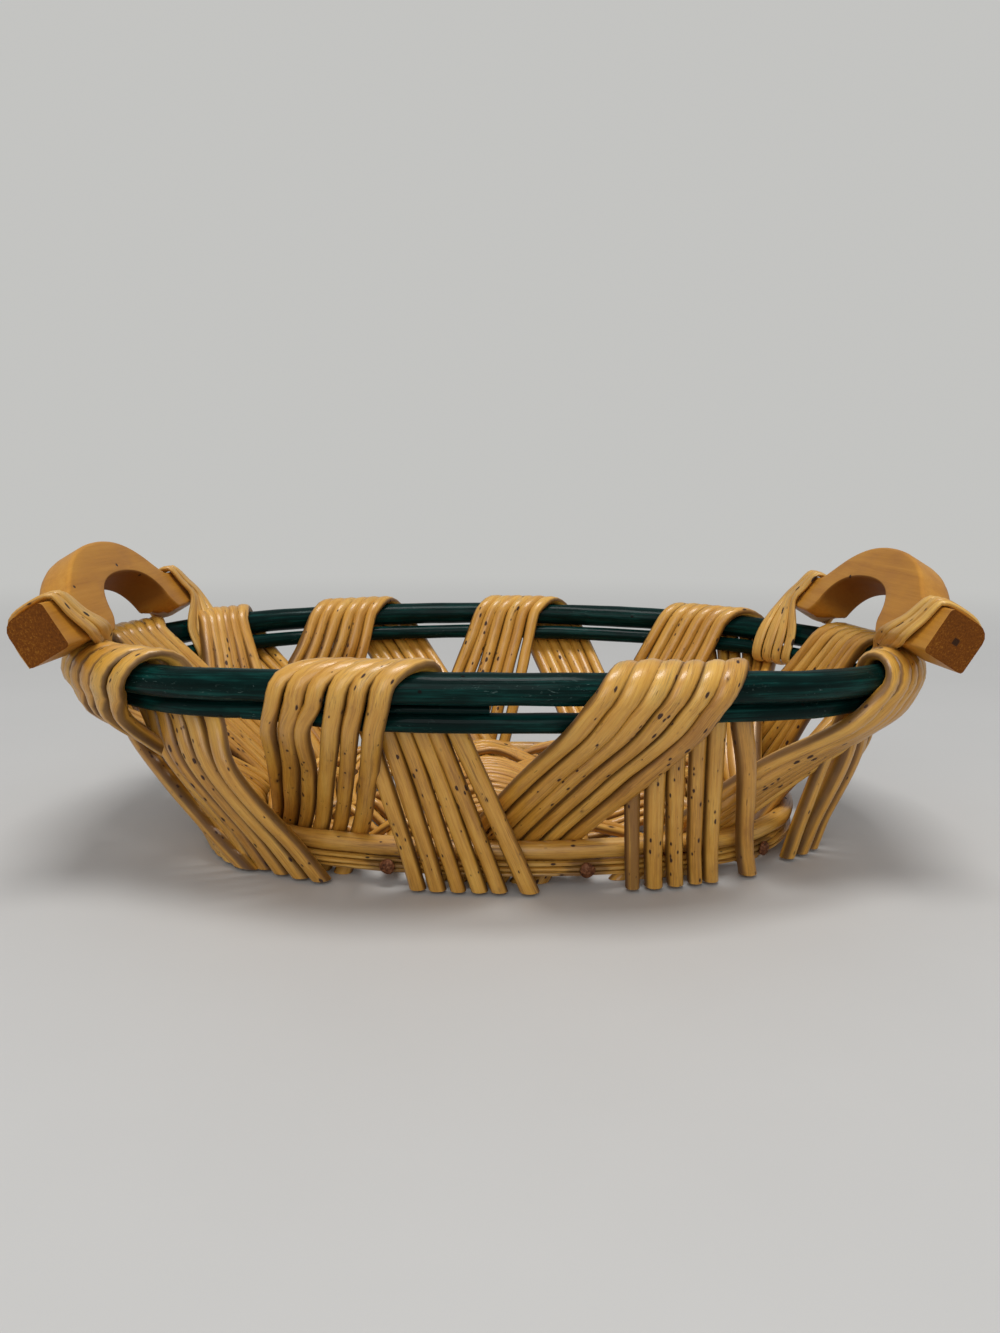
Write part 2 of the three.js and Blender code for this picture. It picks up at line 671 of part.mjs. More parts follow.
function lashingStrip({ between, end, pass, halfTurns }) {
  const [before, after] = between.map((side) => bundles.find((bundle) => bundle.side === side).rim);
  const gap = (after - before + 1) % 1;
  const rim = before + gap / 2 + rimShift / rimOval.total;
  const footY = end * (spanHalf - lashingInset);
  const onBoard = (out, high, across = footY) => ({
    point: boardFoot.clone()
      .setY(across)
      .addScaledVector(boardOut, out)
      .addScaledVector(leanOut, high)
      .applyAxisAngle(up, halfTurns * Math.PI),
    aside: along.clone().applyAxisAngle(up, halfTurns * Math.PI),
  });
  const around = (oval, drop, reach, turn) => {
    const { point, normal } = oval.at(rim * oval.total);
    point.z = rimZ(point.x) - drop;
    point.addScaledVector(normal, reach * Math.cos(radians(turn)));
    point.addScaledVector(up, reach * Math.sin(radians(turn)));
    return { point, aside: up.clone().cross(normal) };
  };
  const stops = [
    ...[1, 0, -1].map((step) => around(rimLowerOval, rimDrop, lowerReach, step * lashingBend - 180)),
    around(rimOval, 0, upperReach, 180),
    onBoard(-boardReach - lashingWidth / 2 - clearance, lashingLift, end * pass),
    onBoard(-boardReach - clearance, (lashingLift + handleFootHeight) / 2),
    onBoard(-boardReach, topReach),
    onBoard(boardReach, topReach),
    onBoard(boardReach, 0),
  ];
  const steps = travel(stops.map((stop) => stop.point));
  return loft(stops.map((stop, k) => {
    const { along: forward, stretch } = steps[k];
    const aside = stop.aside.clone().addScaledVector(forward, -stop.aside.dot(forward)).normalize();
    const face = aside.clone().cross(forward);
    const corner = (sideways, outward) => stop.point.clone()
      .addScaledVector(aside, (sideways * lashingWidth) / 2)
      .addScaledVector(face, outward * lashingHalf * stretch);
    return [corner(-1, 1), corner(1, 1), corner(1, -1), corner(-1, -1)];
  }));
}

lashings.forEach((lashing) => {
  addPiece(basket, `handle_lashing_${lashing.name}`, lashingStrip(lashing), paleWillow);
});

export default basket;
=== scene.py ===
import math
import random

import bpy
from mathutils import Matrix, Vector, noise


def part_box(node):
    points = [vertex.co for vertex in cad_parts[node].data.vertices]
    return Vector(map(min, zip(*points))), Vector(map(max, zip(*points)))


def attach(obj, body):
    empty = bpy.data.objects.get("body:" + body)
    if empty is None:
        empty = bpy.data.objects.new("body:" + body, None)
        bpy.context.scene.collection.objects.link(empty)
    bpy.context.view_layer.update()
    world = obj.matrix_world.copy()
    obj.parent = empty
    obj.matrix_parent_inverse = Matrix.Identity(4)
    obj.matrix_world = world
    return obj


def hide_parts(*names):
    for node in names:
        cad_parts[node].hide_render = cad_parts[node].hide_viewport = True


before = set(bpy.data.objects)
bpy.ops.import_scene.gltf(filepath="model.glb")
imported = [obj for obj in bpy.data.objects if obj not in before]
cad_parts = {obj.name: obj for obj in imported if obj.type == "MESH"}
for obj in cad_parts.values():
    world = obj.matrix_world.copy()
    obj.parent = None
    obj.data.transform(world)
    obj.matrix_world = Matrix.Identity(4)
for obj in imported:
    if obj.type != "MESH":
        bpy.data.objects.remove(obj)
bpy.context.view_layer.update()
mm = 0.001                              # lengths below are in millimetres
up = Vector((0, 0, 1))
floorGap = 0.15                         # nothing lies lower than this
print("frame:", len(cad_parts), "CAD nodes")


def nodeBox(node):
    low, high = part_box(node)
    return low / mm, high / mm


def lerp(a, b, t):
    return a + (b - a) * t


def clamp(value, low=0.0, high=1.0):
    return max(low, min(high, value))


def ease(value, low, high):             # smooth step from low to high
    t = clamp((value - low) / (high - low))
    return t * t * (3 - 2 * t)


def show(thing):                        # puts an object into the scene
    bpy.context.scene.collection.objects.link(thing)


# shader expressions

class Wire:                             # a node's output, used in sums and products
    def __init__(self, tree, socket=None):
        self.tree = tree
        self.socket = socket

    def add(self, kind, settings=None, inputs=None, output=0):
        node = self.tree.nodes.new(kind)
        for name, value in (settings or {}).items():
            if name == "stops":
                self.setStops(node.color_ramp, value)
            else:
                setattr(node, name, value)
        for key, value in (inputs or {}).items():
            if isinstance(value, Wire):
                self.tree.links.new(value.socket, node.inputs[key])
            else:
                node.inputs[key].default_value = value
        return Wire(self.tree, node.outputs[output] if node.outputs else None)

    def setStops(self, ramp, stops):
        while len(ramp.elements) < len(stops):
            ramp.elements.new(1.0)
        for element, (place, colour) in zip(ramp.elements, stops):
            element.position = place
            element.color = (*colour, 1.0)

    def math(self, operation, *values):
        return self.add("ShaderNodeMath", {"operation": operation}, dict(enumerate(values)))

    def __add__(self, other):
        return self.math("ADD", self, other)

    def __sub__(self, other):
        return self.math("SUBTRACT", self, other)

    def __rsub__(self, other):
        return self.math("SUBTRACT", other, self)

    def __mul__(self, other):
        return self.math("MULTIPLY", self, other)

    __radd__ = __add__
    __rmul__ = __mul__

    def limited(self):                  # kept between 0 and 1
        return self.add("ShaderNodeClamp", None, {0: self})

    def stepped(self, low, high):       # 0 below low, 1 above high, smooth between
        return self.add("ShaderNodeMapRange", {"interpolation_type": "SMOOTHSTEP"},
                        {0: self, 1: low, 2: high})

    def scaled(self, x, y, z):          # a vector stretched along its axes
        return self.add("ShaderNodeVectorMath", {"operation": "MULTIPLY"}, {0: self, 1: (x, y, z)})

    def noise(self, scale=1.0, detail=2.0, rough=0.5, warp=0.0):
        return self.add("ShaderNodeTexNoise", None, {"Vector": self, "Scale": scale, "Detail": detail,
                                                     "Roughness": rough, "Distortion": warp})

    def streaks(self, along, across, detail, rough):    # noise drawn out along the rod
        return self.scaled(along, across, across).noise(1.0, detail, rough)

    def cells(self, scale=1.0, output=0):
        return self.add("ShaderNodeTexVoronoi", None, {"Vector": self, "Scale": scale}, output)

    def ramp(self, stops):
        return self.add("ShaderNodeValToRGB", {"stops": stops}, {0: self})

    def blend(self, first, second):     # this value mixes two colours
        pair = [colour if isinstance(colour, Wire) else (*colour, 1.0) for colour in (first, second)]
        return self.add("ShaderNodeMix", {"data_type": "RGBA"}, {0: self, 6: pair[0], 7: pair[1]}, 2)


def startMaterial(name):
    material = bpy.data.materials.new(name)
    material.use_nodes = True
    material.node_tree.nodes.clear()
    return material, Wire(material.node_tree)


def endMaterial(material, tree, sockets, height, strength, distance):
    bump = tree.add("ShaderNodeBump", None,
                    {"Strength": strength, "Distance": distance * mm, "Height": height})
    shader = tree.add("ShaderNodeBsdfPrincipled", None, {**sockets, "Normal": bump})
    tree.add("ShaderNodeOutputMaterial", None, {"Surface": shader})
    return material


def mark(tree, name):                   # a number kept on each point of a piece
    return tree.add("ShaderNodeAttribute", {"attribute_name": name}, None, 2)


def grainPlace(tree):                   # place in the straightened rod, in millimetres
    return tree.add("ShaderNodeAttribute", {"attribute_name": "grain"}, None, 1)


# crevice: painted shade colour, with some dirt, for the gaps between rods
willowLooks = {
    "sideWillow": {
        "deep": (0.33, 0.133, 0.013), "honey": (0.583, 0.281, 0.036), "straw": (0.748, 0.424, 0.076),
        "bark": (0.13, 0.05, 0.012), "speck": (0.045, 0.015, 0.004), "mould": (0.27, 0.21, 0.08),
        "crevice": (0.075, 0.026, 0.003), "sawn": (0.33, 0.17, 0.05), "scarSpacing": 13.0,
        "rough": 0.36, "coat": 0.35},
    "baseWillow": {
        "deep": (0.297, 0.122, 0.014), "honey": (0.55, 0.276, 0.043), "straw": (0.726, 0.435, 0.09),
        "bark": (0.1, 0.04, 0.012), "speck": (0.045, 0.016, 0.005), "mould": (0.28, 0.21, 0.085),
        "crevice": (0.07, 0.026, 0.004), "sawn": (0.34, 0.18, 0.06), "scarSpacing": 14.0,
        "rough": 0.42, "coat": 0.25},
    "wovenWillow": {
        "deep": (0.374, 0.148, 0.016), "honey": (0.638, 0.307, 0.043), "straw": (0.77, 0.445, 0.083),
        "bark": (0.17, 0.065, 0.014), "speck": (0.04, 0.016, 0.006), "mould": (0.34, 0.21, 0.065),
        "crevice": (0.1, 0.034, 0.004), "sawn": (0.36, 0.18, 0.05), "scarSpacing": 18.0,
        "rough": 0.4, "coat": 0.25},
    "lashingWillow": {
        "deep": (0.33, 0.138, 0.016), "honey": (0.605, 0.307, 0.05), "straw": (0.78, 0.477, 0.108),
        "bark": (0.15, 0.06, 0.014), "speck": (0.035, 0.016, 0.006), "mould": (0.34, 0.23, 0.08),
        "crevice": (0.09, 0.032, 0.004), "sawn": (0.36, 0.19, 0.06), "scarSpacing": 20.0,
        "rough": 0.42, "coat": 0.25},
}
scars = {                               # layers: size of cells, most and least reach, gain in patches
    "layers": ((1.0, 0.125, 0.035, 0.0), (0.5, 0.185, 0.06, 0.03), (0.2, 0.34, 0.16, 0.17)),
    "rubbed": 0.045, "halo": 0.09, "haloSoft": 0.14, "ragged": 0.28, "soft": 0.04}


def willowMaterial(name):               # peeled, varnished willow with bud scars and scraps of bark
    look = willowLooks[name]
    material, tree = startMaterial(name)
    place = grainPlace(tree)
    tint = mark(tree, "tint")
    bark = mark(tree, "bark")
    wear = mark(tree, "wear")
    cut = mark(tree, "cut")
    streak = place.streaks(0.03, 0.8, 4.0, 0.62)
    fibre = place.streaks(0.09, 3.2, 3.0, 0.6)
    blotch = place.streaks(0.045, 0.16, 4.0, 0.65)
    shade = (tint * 0.45 + streak * 1.3 + blotch * 1.0 + wear * 0.2 - 0.95).limited()
    colour = shade.ramp([(0.0, look["deep"]), (0.45, look["honey"]), (1.0, look["straw"])])
    colour = (fibre.stepped(0.52, 0.74) * 0.5).blend(colour, look["deep"])
    mould = blotch.stepped(0.5, 0.72) * fibre.stepped(0.38, 0.62) * (wear * 0.45 + 0.12)
    colour = mould.blend(colour, look["mould"])
    barkLine = place.streaks(0.018, 0.5, 5.0, 0.7)
    barkMask = (barkLine + bark * 0.5).stepped(0.68, 0.84)
    colour = (barkMask * 0.7).blend(colour, look["bark"])
    side = mark(tree, "crevice")        # painted shade between rods, with varnish and dirt pooled where they lie against each other
    creviceShadeAndDirt = side.stepped(0.5, 0.95) * (blotch * 0.8 + 0.5).limited()
    colour = (creviceShadeAndDirt * 0.92).blend(colour, look["crevice"])
    speck = None
    patch = place.streaks(0.04, 0.12, 2.0, 0.5).stepped(0.45, 0.6)
    colour = (patch * fibre.stepped(0.4, 0.7) * 0.3).blend(colour, look["bark"])
    for share, most, least, gather in scars["layers"]:
        spread = place.scaled(0.5, 1.0, 1.0)
        cell = spread.cells(1 / (look["scarSpacing"] * share))
        chance = spread.cells(1 / (look["scarSpacing"] * share), 1)
        reach = chance * most - least + patch * gather - wear * scars["rubbed"]     # fewest on the rim
        halo = (reach - cell + scars["halo"]).stepped(0.0, scars["haloSoft"]) * 0.5
        colour = halo.blend(colour, look["bark"])
        spot = (reach - cell + (fibre - 0.5) * scars["ragged"]).stepped(0.0, scars["soft"])
        speck = spot if speck is None else speck + spot
    dash = place.streaks(0.11, 1.5, 2.0, 0.5).stepped(0.7, 0.74) * blotch.stepped(0.42, 0.6)
    speck = (speck + dash * 0.7).limited()
    colour = speck.blend(colour, look["speck"])
    ring = place.streaks(0.3, 0.9, 3.0, 0.6)
    colour = cut.blend(colour, ring.ramp([(0.3, look["bark"]), (0.6, look["sawn"]), (0.8, look["honey"])]))
    dull = (cut + barkMask * 0.5 + speck + creviceShadeAndDirt * 0.6).limited()
    rough = fibre * 0.14 + blotch * 0.14 + dull * 0.3 + (look["rough"] - 0.13)
    height = fibre * 0.35 + streak * 0.6 + blotch * 0.5 - speck * 0.7 - barkMask * 0.15
    return endMaterial(material, tree, {
        "Base Color": colour, "Roughness": rough, "Coat Weight": (1 - dull) * look["coat"],
        "Coat Roughness": 0.16, "Specular IOR Level": 0.5}, height, 0.55, 0.4)


paintLook = {
    "shadow": (0.0008, 0.0055, 0.0045), "green": (0.001, 0.0135, 0.0115), "worn": (0.005, 0.062, 0.052),
    "scratch": (0.13, 0.2, 0.185), "chip": (0.008, 0.007, 0.006), "rough": 0.34}


def paintMaterial():                    # dark green gloss, streaked along the rod and scuffed
    material, tree = startMaterial("greenPaint")
    place = grainPlace(tree)
    cut = mark(tree, "cut")
    streak = place.streaks(0.018, 0.6, 5.0, 0.62)
    brush = place.streaks(0.05, 2.2, 3.0, 0.6)
    blotch = place.streaks(0.04, 0.14, 4.0, 0.6)
    shade = (streak * 0.8 + brush * 0.3 + blotch * 0.6 - 0.35).limited()
    colour = shade.ramp([(0.24, paintLook["shadow"]), (0.5, paintLook["green"]), (0.78, paintLook["worn"])])
    scuffZone = place.streaks(0.05, 0.1, 2.0, 0.5).stepped(0.52, 0.66)
    scuff = place.scaled(0.35, 1.9, 1.2).noise(1.0, 4.0, 0.7, 0.8).stepped(0.6, 0.69) * scuffZone
    colour = (scuff * 0.6).blend(colour, paintLook["scratch"])
    chip = place.scaled(0.7, 0.9, 0.9).cells(0.12)
    chipMask = (0.07 - chip + brush * 0.03).stepped(0.0, 0.03)
    colour = (chipMask + cut * 0.6).limited().blend(colour, paintLook["chip"])
    rough = brush * 0.2 + blotch * 0.2 + scuff * 0.3 + chipMask * 0.3 + (paintLook["rough"] - 0.2)
    height = streak * 0.9 + brush * 0.3 - chipMask * 0.6 - scuff * 0.2
    return endMaterial(material, tree, {
        "Base Color": colour, "Roughness": rough, "Coat Weight": (1 - scuff - chipMask * 0.6).limited() * 0.1,
        "Coat Roughness": 0.12, "Specular IOR Level": 0.03}, height, 0.6, 0.6)


# under: painted shade colour for the underside of the grip
handleLook = {
    "deep": (0.33, 0.125, 0.014), "wood": (0.50, 0.22, 0.026), "light": (0.62, 0.32, 0.052),
    "sawn": (0.18, 0.052, 0.004), "sawnDark": (0.07, 0.02, 0.002), "under": (0.13, 0.04, 0.006),
    "speck": (0.04, 0.016, 0.006)}


def handleMaterial():                   # smooth varnished board with rough sawn ends and painted shade under the grip
    material, tree = startMaterial("handleWood")
    place = grainPlace(tree)
    cut = mark(tree, "cut")
    wear = mark(tree, "wear")
    figure = place.scaled(0.014, 0.16, 0.11).noise(1.0, 4.0, 0.55, 0.6)
    line = place.scaled(0.02, 0.9, 0.7).noise(1.0, 4.0, 0.65)
    pore = place.scaled(0.12, 3.4, 3.0).noise(1.0, 3.0, 0.6)
    blotch = place.scaled(0.04, 0.05, 0.06).noise(1.0, 3.0, 0.5)
    shade = (figure * 0.65 + line * 0.35 + blotch * 0.4 - 0.25).limited()
    colour = shade.ramp([(0.15, handleLook["deep"]), (0.5, handleLook["wood"]), (0.9, handleLook["light"])])
    colour = (pore.stepped(0.6, 0.78) * 0.35).blend(colour, handleLook["deep"])
    # painted shade: the grip's underside, carried in the wear mark, is darkened
    colour = (wear * 0.8).blend(colour, handleLook["under"])
    speck = (0.055 - place.scaled(0.6, 1.0, 1.0).cells(0.055)).stepped(0.0, 0.02)
    colour = speck.blend(colour, handleLook["speck"])
    fuzz = place.scaled(1.0, 1.1, 1.6).noise(1.0, 4.0, 0.7)
    sawn = (fuzz * 0.8 + blotch * 0.3 - 0.05).limited().ramp(
        [(0.25, handleLook["sawnDark"]), (0.55, handleLook["sawn"]), (0.85, handleLook["wood"])])
    colour = cut.blend(colour, sawn)
    hole = (mark(tree, "bark") + fuzz * 0.06).stepped(0.86, 0.92)
    colour = hole.blend(colour, handleLook["speck"])
    rough = (cut * 0.3 + wear * 0.2 + pore * 0.12 + blotch * 0.16 + 0.36).limited()
    height = pore * 0.25 + line * 0.25 + blotch * 0.5 + cut * fuzz * 2.2 - speck * 0.6
    return endMaterial(material, tree, {
        "Base Color": colour, "Roughness": rough, "Coat Weight": (1 - cut - wear).limited() * 0.12,
        "Coat Roughness": 0.25, "Specular IOR Level": 0.14}, height, 0.5, 0.4)


rustLook = {"dark": (0.012, 0.006, 0.004), "rust": (0.16, 0.05, 0.014), "bright": (0.30, 0.12, 0.035)}


def rustMaterial():                     # nail heads
    material, tree = startMaterial("rustySteel")
    place = grainPlace(tree)
    scale = place.noise(0.9, 4.0, 0.65)
    pit = place.noise(2.6, 3.0, 0.6)
    colour = (scale * 0.8 + pit * 0.3 - 0.05).limited().ramp(
        [(0.3, rustLook["dark"]), (0.52, rustLook["rust"]), (0.75, rustLook["bright"])])
    return endMaterial(material, tree, {
        "Base Color": colour, "Roughness": pit * 0.3 + 0.42,
        "Metallic": (0.62 - scale).stepped(0.0, 0.15) * 0.6}, scale * 0.8 + pit * 0.5, 0.7, 0.3)


finishes = {
    "side_willow": willowMaterial("sideWillow"),
    "base_willow": willowMaterial("baseWillow"),
    "woven_willow": willowMaterial("wovenWillow"),
    "lashing_willow": willowMaterial("lashingWillow"),
    "green_paint": paintMaterial(),
    "handle_wood": handleMaterial(),
    "rusty_steel": rustMaterial(),
}
print("finishes:", len(finishes))


# plan shapes

class Oval:                             # four-centre oval, measured from mid front towards +X
    def __init__(self, halfLength, halfWidth, endInset, shift=0.0):
        self.shift = shift
        self.endRadius = halfWidth - endInset
        self.endCentre = halfLength - self.endRadius
        self.sideRadius = (self.endCentre ** 2 + halfWidth ** 2 - self.endRadius ** 2) / (2 * endInset)
        self.sideCentre = self.sideRadius - halfWidth
        self.turn = math.atan2(self.endCentre, self.sideCentre)
        self.sideLength = self.sideRadius * self.turn
        self.quarter = self.sideLength + self.endRadius * (math.pi / 2 - self.turn)
        self.total = 4 * self.quarter

    def at(self, station, offset=0.0, height=0.0):
        half = 2 * self.quarter
        wrapped = station - self.total * math.floor((station + half) / self.total)
        reach = abs(wrapped)
        folded = min(reach, half - reach)
        onSide = folded <= self.sideLength
        past = self.turn + (folded - self.sideLength) / self.endRadius
        angle = folded / self.sideRadius if onSide else past
        radius = (self.sideRadius if onSide else self.endRadius) + offset
        centre = (0.0, self.sideCentre) if onSide else (self.endCentre, 0.0)
        flipX = -1 if wrapped < 0 else 1
        flipY = -1 if reach > self.quarter else 1
        point = Vector((self.shift + flipX * (centre[0] + radius * math.sin(angle)),
                        flipY * (centre[1] - radius * math.cos(angle)), height))
        return point, Vector((flipX * math.sin(angle), -flipY * math.cos(angle), 0.0))

    def tangent(self, station):
        return up.cross(self.at(station)[1])

    def onEnd(self, point):
        return math.atan2(abs(point.x - self.shift) - self.endCentre, abs(point.y)) >= self.turn

    def offsetOf(self, point):
        across = abs(point.x - self.shift)
        if self.onEnd(point):
            return math.hypot(across - self.endCentre, point.y) - self.endRadius
        return math.hypot(across, abs(point.y) + self.sideCentre) - self.sideRadius

    def stationOf(self, point):
        across = abs(point.x - self.shift)
        if self.onEnd(point):
            angle = math.atan2(across - self.endCentre, abs(point.y))
            folded = self.sideLength + self.endRadius * (angle - self.turn)
        else:
            folded = self.sideRadius * math.atan2(across, abs(point.y) + self.sideCentre)
        reach = 2 * self.quarter - folded if point.y > 0 else folded
        return -reach if point.x < self.shift else reach

    def runTo(self, origin, direction, offset):
        near, far = 0.0, self.total
        for _ in range(40):
            middle = (near + far) / 2
            if self.offsetOf(origin + direction * middle) < offset:
                near = middle
            else:
                far = middle
        return near


# meshes

class Skin:                             # points, faces and marks of one piece
    def __init__(self):
        self.points = []
        self.faces = []
        self.grain = []
        self.marks = {"tint": [], "bark": [], "wear": [], "cut": [], "crevice": []}

    def addRing(self, points, grain, marks):
        first = len(self.points)
        self.points += points
        self.grain += grain
        for name, values in self.marks.items():
            value = marks.get(name, 0.0)
            values += value if isinstance(value, list) else [value] * len(points)
        return first

    def join(self, here, there, count, around=True):
        for i in range(count if around else count - 1):
            j = (i + 1) % count
            self.faces.append((here + i, here + j, there + j, there + i))

    def cap(self, ring, marks, turned, spot=0.0):
        points = [self.points[i].copy() for i in ring]
        grain = [self.grain[i].copy() for i in ring]
        first = self.addRing(points, grain, {**marks, "cut": 1.0})
        middle = sum(points, Vector()) / len(points)
        centre = self.addRing([middle], [sum(grain, Vector()) / len(grain)],
                              {**marks, "cut": 1.0, "bark": marks.get("bark", 0.0) + spot})
        for i in range(len(ring)):
            j = (i + 1) % len(ring)
            self.faces.append((first + j, first + i, centre) if turned else (first + i, first + j, centre))


def makePiece(name, skin, slot, nodes, sharp=50):
    mesh = bpy.data.meshes.new(name)
    mesh.from_pydata([p * mm for p in skin.points], [], skin.faces)
    grain = mesh.attributes.new("grain", "FLOAT_VECTOR", "POINT")
    grain.data.foreach_set("vector", [c for g in skin.grain for c in g])
    for key, values in skin.marks.items():
        mesh.attributes.new(key, "FLOAT", "POINT").data.foreach_set("value", values)
    mesh.materials.append(finishes[slot])
    mesh.shade_smooth()
    mesh.set_sharp_from_angle(angle=math.radians(sharp))
    piece = bpy.data.objects.new(name, mesh)
    show(piece)
    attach(piece, "root")
    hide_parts(*nodes)
    return piece


def smoothPath(stops, step):            # a curve through the stops' points; their other values follow
    count = len(stops)
    path = []
    for k in range(count - 1):
        four = [stops[clamp(k + i, 0, count - 1)]["point"] for i in (-1, 0, 1, 2)]
        if k == 0:
            four[0] = 2 * four[1] - four[2]
        if k == count - 2:
            four[3] = 2 * four[2] - four[1]
        knots = [0.0]
        for a, b in zip(four, four[1:]):
            knots.append(knots[-1] + math.sqrt(max((b - a).length, 1e-6)))
        pieces = max(1, round((four[2] - four[1]).length / step))
        for i in range(pieces + (k == count - 2)):
            share = i / pieces
            t = lerp(knots[1], knots[2], share)
            between = lambda a, b: (t - knots[a]) / (knots[b] - knots[a])
            first = [lerp(four[n], four[n + 1], between(n, n + 1)) for n in range(3)]
            second = [lerp(first[n], first[n + 1], between(n, n + 2)) for n in range(2)]
            stop = {"point": lerp(second[0], second[1], between(1, 2))}
            for key in stops[k]:
                if key != "point":
                    stop[key] = lerp(stops[k][key], stops[k + 1][key], ease(share, 0, 1))
            path.append(stop)
    return path


def loft(skin, path, look, sides=14, closed=False, square=2.0, floor=None):
    count = len(path)
    rings = []
    distance = 0.0
    offset = Vector((look["seed"] * 37.0, look["seed"] * 11.0, look["seed"] * 5.0))
    for k, stop in enumerate(path):
        before = path[(k - 1) % count if closed else max(k - 1, 0)]["point"]
        after = path[(k + 1) % count if closed else min(k + 1, count - 1)]["point"]
        along = (after - before).normalized()
        if k:
            distance += (stop["point"] - path[k - 1]["point"]).length
        aside = (stop["aside"] - along * stop["aside"].dot(along)).normalized()
        face = aside.cross(along)
        points = []
        grain = []
        for i in range(sides):
            angle = 2 * math.pi * i / sides
            c, s = math.cos(angle), math.sin(angle)
            bulge = (abs(c) ** square + abs(s) ** square) ** (-1 / square)
            spot = Vector((distance * 0.06 + look["seed"] * 9, c * 0.7, s * 0.7 + look["seed"]))
            swell = 1 + look.get("uneven", 0.05) * noise.noise(spot)
            across = Vector((stop["wide"] * c * bulge * swell, stop["deep"] * s * bulge * swell))
            point = stop["point"] + aside * across.x + face * across.y
            if floor and k in floor:    # sawn level
                point += along * ((floor[k] - point.z) / along.z)
            point.z = max(point.z, floorGap)
            points.append(point)
            grain.append(Vector((distance, across.x, across.y)) + offset)
        # crevice mark: strongest on the rod's flanks, where painted shade lies between neighbouring rods
        flank = [math.cos(2 * math.pi * i / sides) ** 2 for i in range(sides)]
        marks = {"tint": look["tint"], "bark": look.get("bark", 0.0) + stop.get("bark", 0.0),
                 "wear": stop.get("wear", 0.0), "crevice": [look.get("crevice", 0.0) * f for f in flank]}
        rings.append(skin.addRing(points, grain, marks))
    for here, there in zip(rings, rings[1:]):
        skin.join(here, there, sides)
    if closed:
        skin.join(rings[-1], rings[0], sides)
    else:
        marks = {"tint": look["tint"], "bark": look.get("bark", 0.0)}
        skin.cap([rings[0] + i for i in range(sides)], marks, True)
        skin.cap([rings[-1] + i for i in range(sides)], marks, False)


# crevice: how much painted shade lies along the rod's flanks
def drawLook(rng, tint, bark, uneven, crevice=0.0):     # one rod's own tone and bark
    return {"tint": rng.uniform(*tint), "seed": rng.uniform(0, 50), "bark": rng.uniform(0, bark),
            "uneven": uneven, "crevice": crevice}


# rim

rim = {"upper": 6.0, "lower": 3.8, "endInset": 12.0, "lowerInset": 11.4, "dip": 5.0, "step": 5.0, "sides": 20,
       "scarfTurn": 0.468, "scarfLength": 78.0, "tailTurn": -0.0055, "tailLength": 92.0, "tailThin": 2.1,
       "tailRise": 2.0, "gapDrop": 3.2}
rimLow, rimHigh = nodeBox("rim_hoop_upper")
underLow, underHigh = nodeBox("rim_hoop_lower")
rimOval = Oval(rimHigh.x - rim["upper"], rimHigh.y - rim["upper"], rim["endInset"])
underOval = Oval((underHigh.x - underLow.x) / 2 - rim["lower"], underHigh.y - rim["lower"], rim["lowerInset"],
                 (underHigh.x + underLow.x) / 2)
rimMiddle = rimHigh.z - rim["upper"]
rimDrop = rim["upper"] + rim["lower"] + 0.3


def rimZ(x):
    return rimMiddle - rim["dip"] * (x / (rimHigh.x - rim["upper"])) ** 2


def hoopStops(oval, first, length, height, wideAt, offsetAt):
    steps = round(length / rim["step"])
    stops = []
    for k in range(steps + 1):
        station = first + length * k / steps
        share = length * k / steps
        radius = wideAt(share)
        point, normal = oval.at(station, offsetAt(share))
        point.z = height(point.x, share)
        stops.append({"point": point, "aside": normal, "wide": radius[0], "deep": radius[1], "wear": 0.0})
    return stops


def buildRim():
    scarf = rim["scarfLength"]
    length = rimOval.total + scarf
    first = rim["scarfTurn"] * rimOval.total - scarf / 2
    fullness = lambda s: clamp(min(s, length - s) / scarf + 0.16)   # both ends are pared to a slope
    skin = Skin()
    loft(skin, hoopStops(
        rimOval, first, length, lambda x, s: rimZ(x),
        lambda s: (rim["upper"] * fullness(s), rim["upper"] * lerp(0.75, 1, fullness(s))),
        lambda s: rim["upper"] * (1 - fullness(s)) * (1 if s < length / 2 else -1)),
        {"tint": 0.5, "seed": 1.0, "uneven": 0.05}, rim["sides"])
    makePiece("rim_upper_rod", skin, "green_paint", ["rim_hoop_upper"])

    tail = rim["tailLength"]
    length = underOval.total + tail
    first = rim["tailTurn"] * underOval.total - tail

    def lapped(s):                      # from 0 to 1 where the tail thins
        return ease(s, length - tail * 1.1, length - tail * 0.6)

    def underZ(x, s):                   # the tail lies on the start of the rod, which sags away from it
        sag = rim["gapDrop"] * ease(s, 0, tail * 0.55) * (1 - ease(s, tail * 1.35, tail * 2.0))
        return rimZ(x) - rimDrop - sag + lapped(s) * rim["tailRise"]

    skin = Skin()
    loft(skin, hoopStops(
        underOval, first, length, underZ,
        lambda s: (rim["lower"], lerp(rim["lower"], rim["tailThin"], lapped(s))), lambda s: 0.0),
        {"tint": 0.4, "seed": 2.0, "uneven": 0.06}, rim["sides"])
    makePiece("rim_lower_rod", skin, "green_paint", ["rim_hoop_lower"])


buildRim()
print("rim: two painted rods")


# base hoops

base = {"upper": 4.0, "lower": 3.2, "endInset": 8.0, "step": 5.0, "splits": 3, "splitTip": 1.6,
        "splitWide": 2.7, "middleWider": 0.3, "stain": 0.55}
hoopLow, hoopHigh = nodeBox("base_hoop_upper")
splitLow, splitHigh = nodeBox("base_hoop_lower")
baseOval = Oval((hoopHigh.x - hoopLow.x) / 2 - base["upper"], hoopHigh.y - base["upper"], base["endInset"],
                (hoopHigh.x + hoopLow.x) / 2)
upperZ = (hoopHigh.z + hoopLow.z) / 2
lowerZ = (splitHigh.z + splitLow.z) / 2


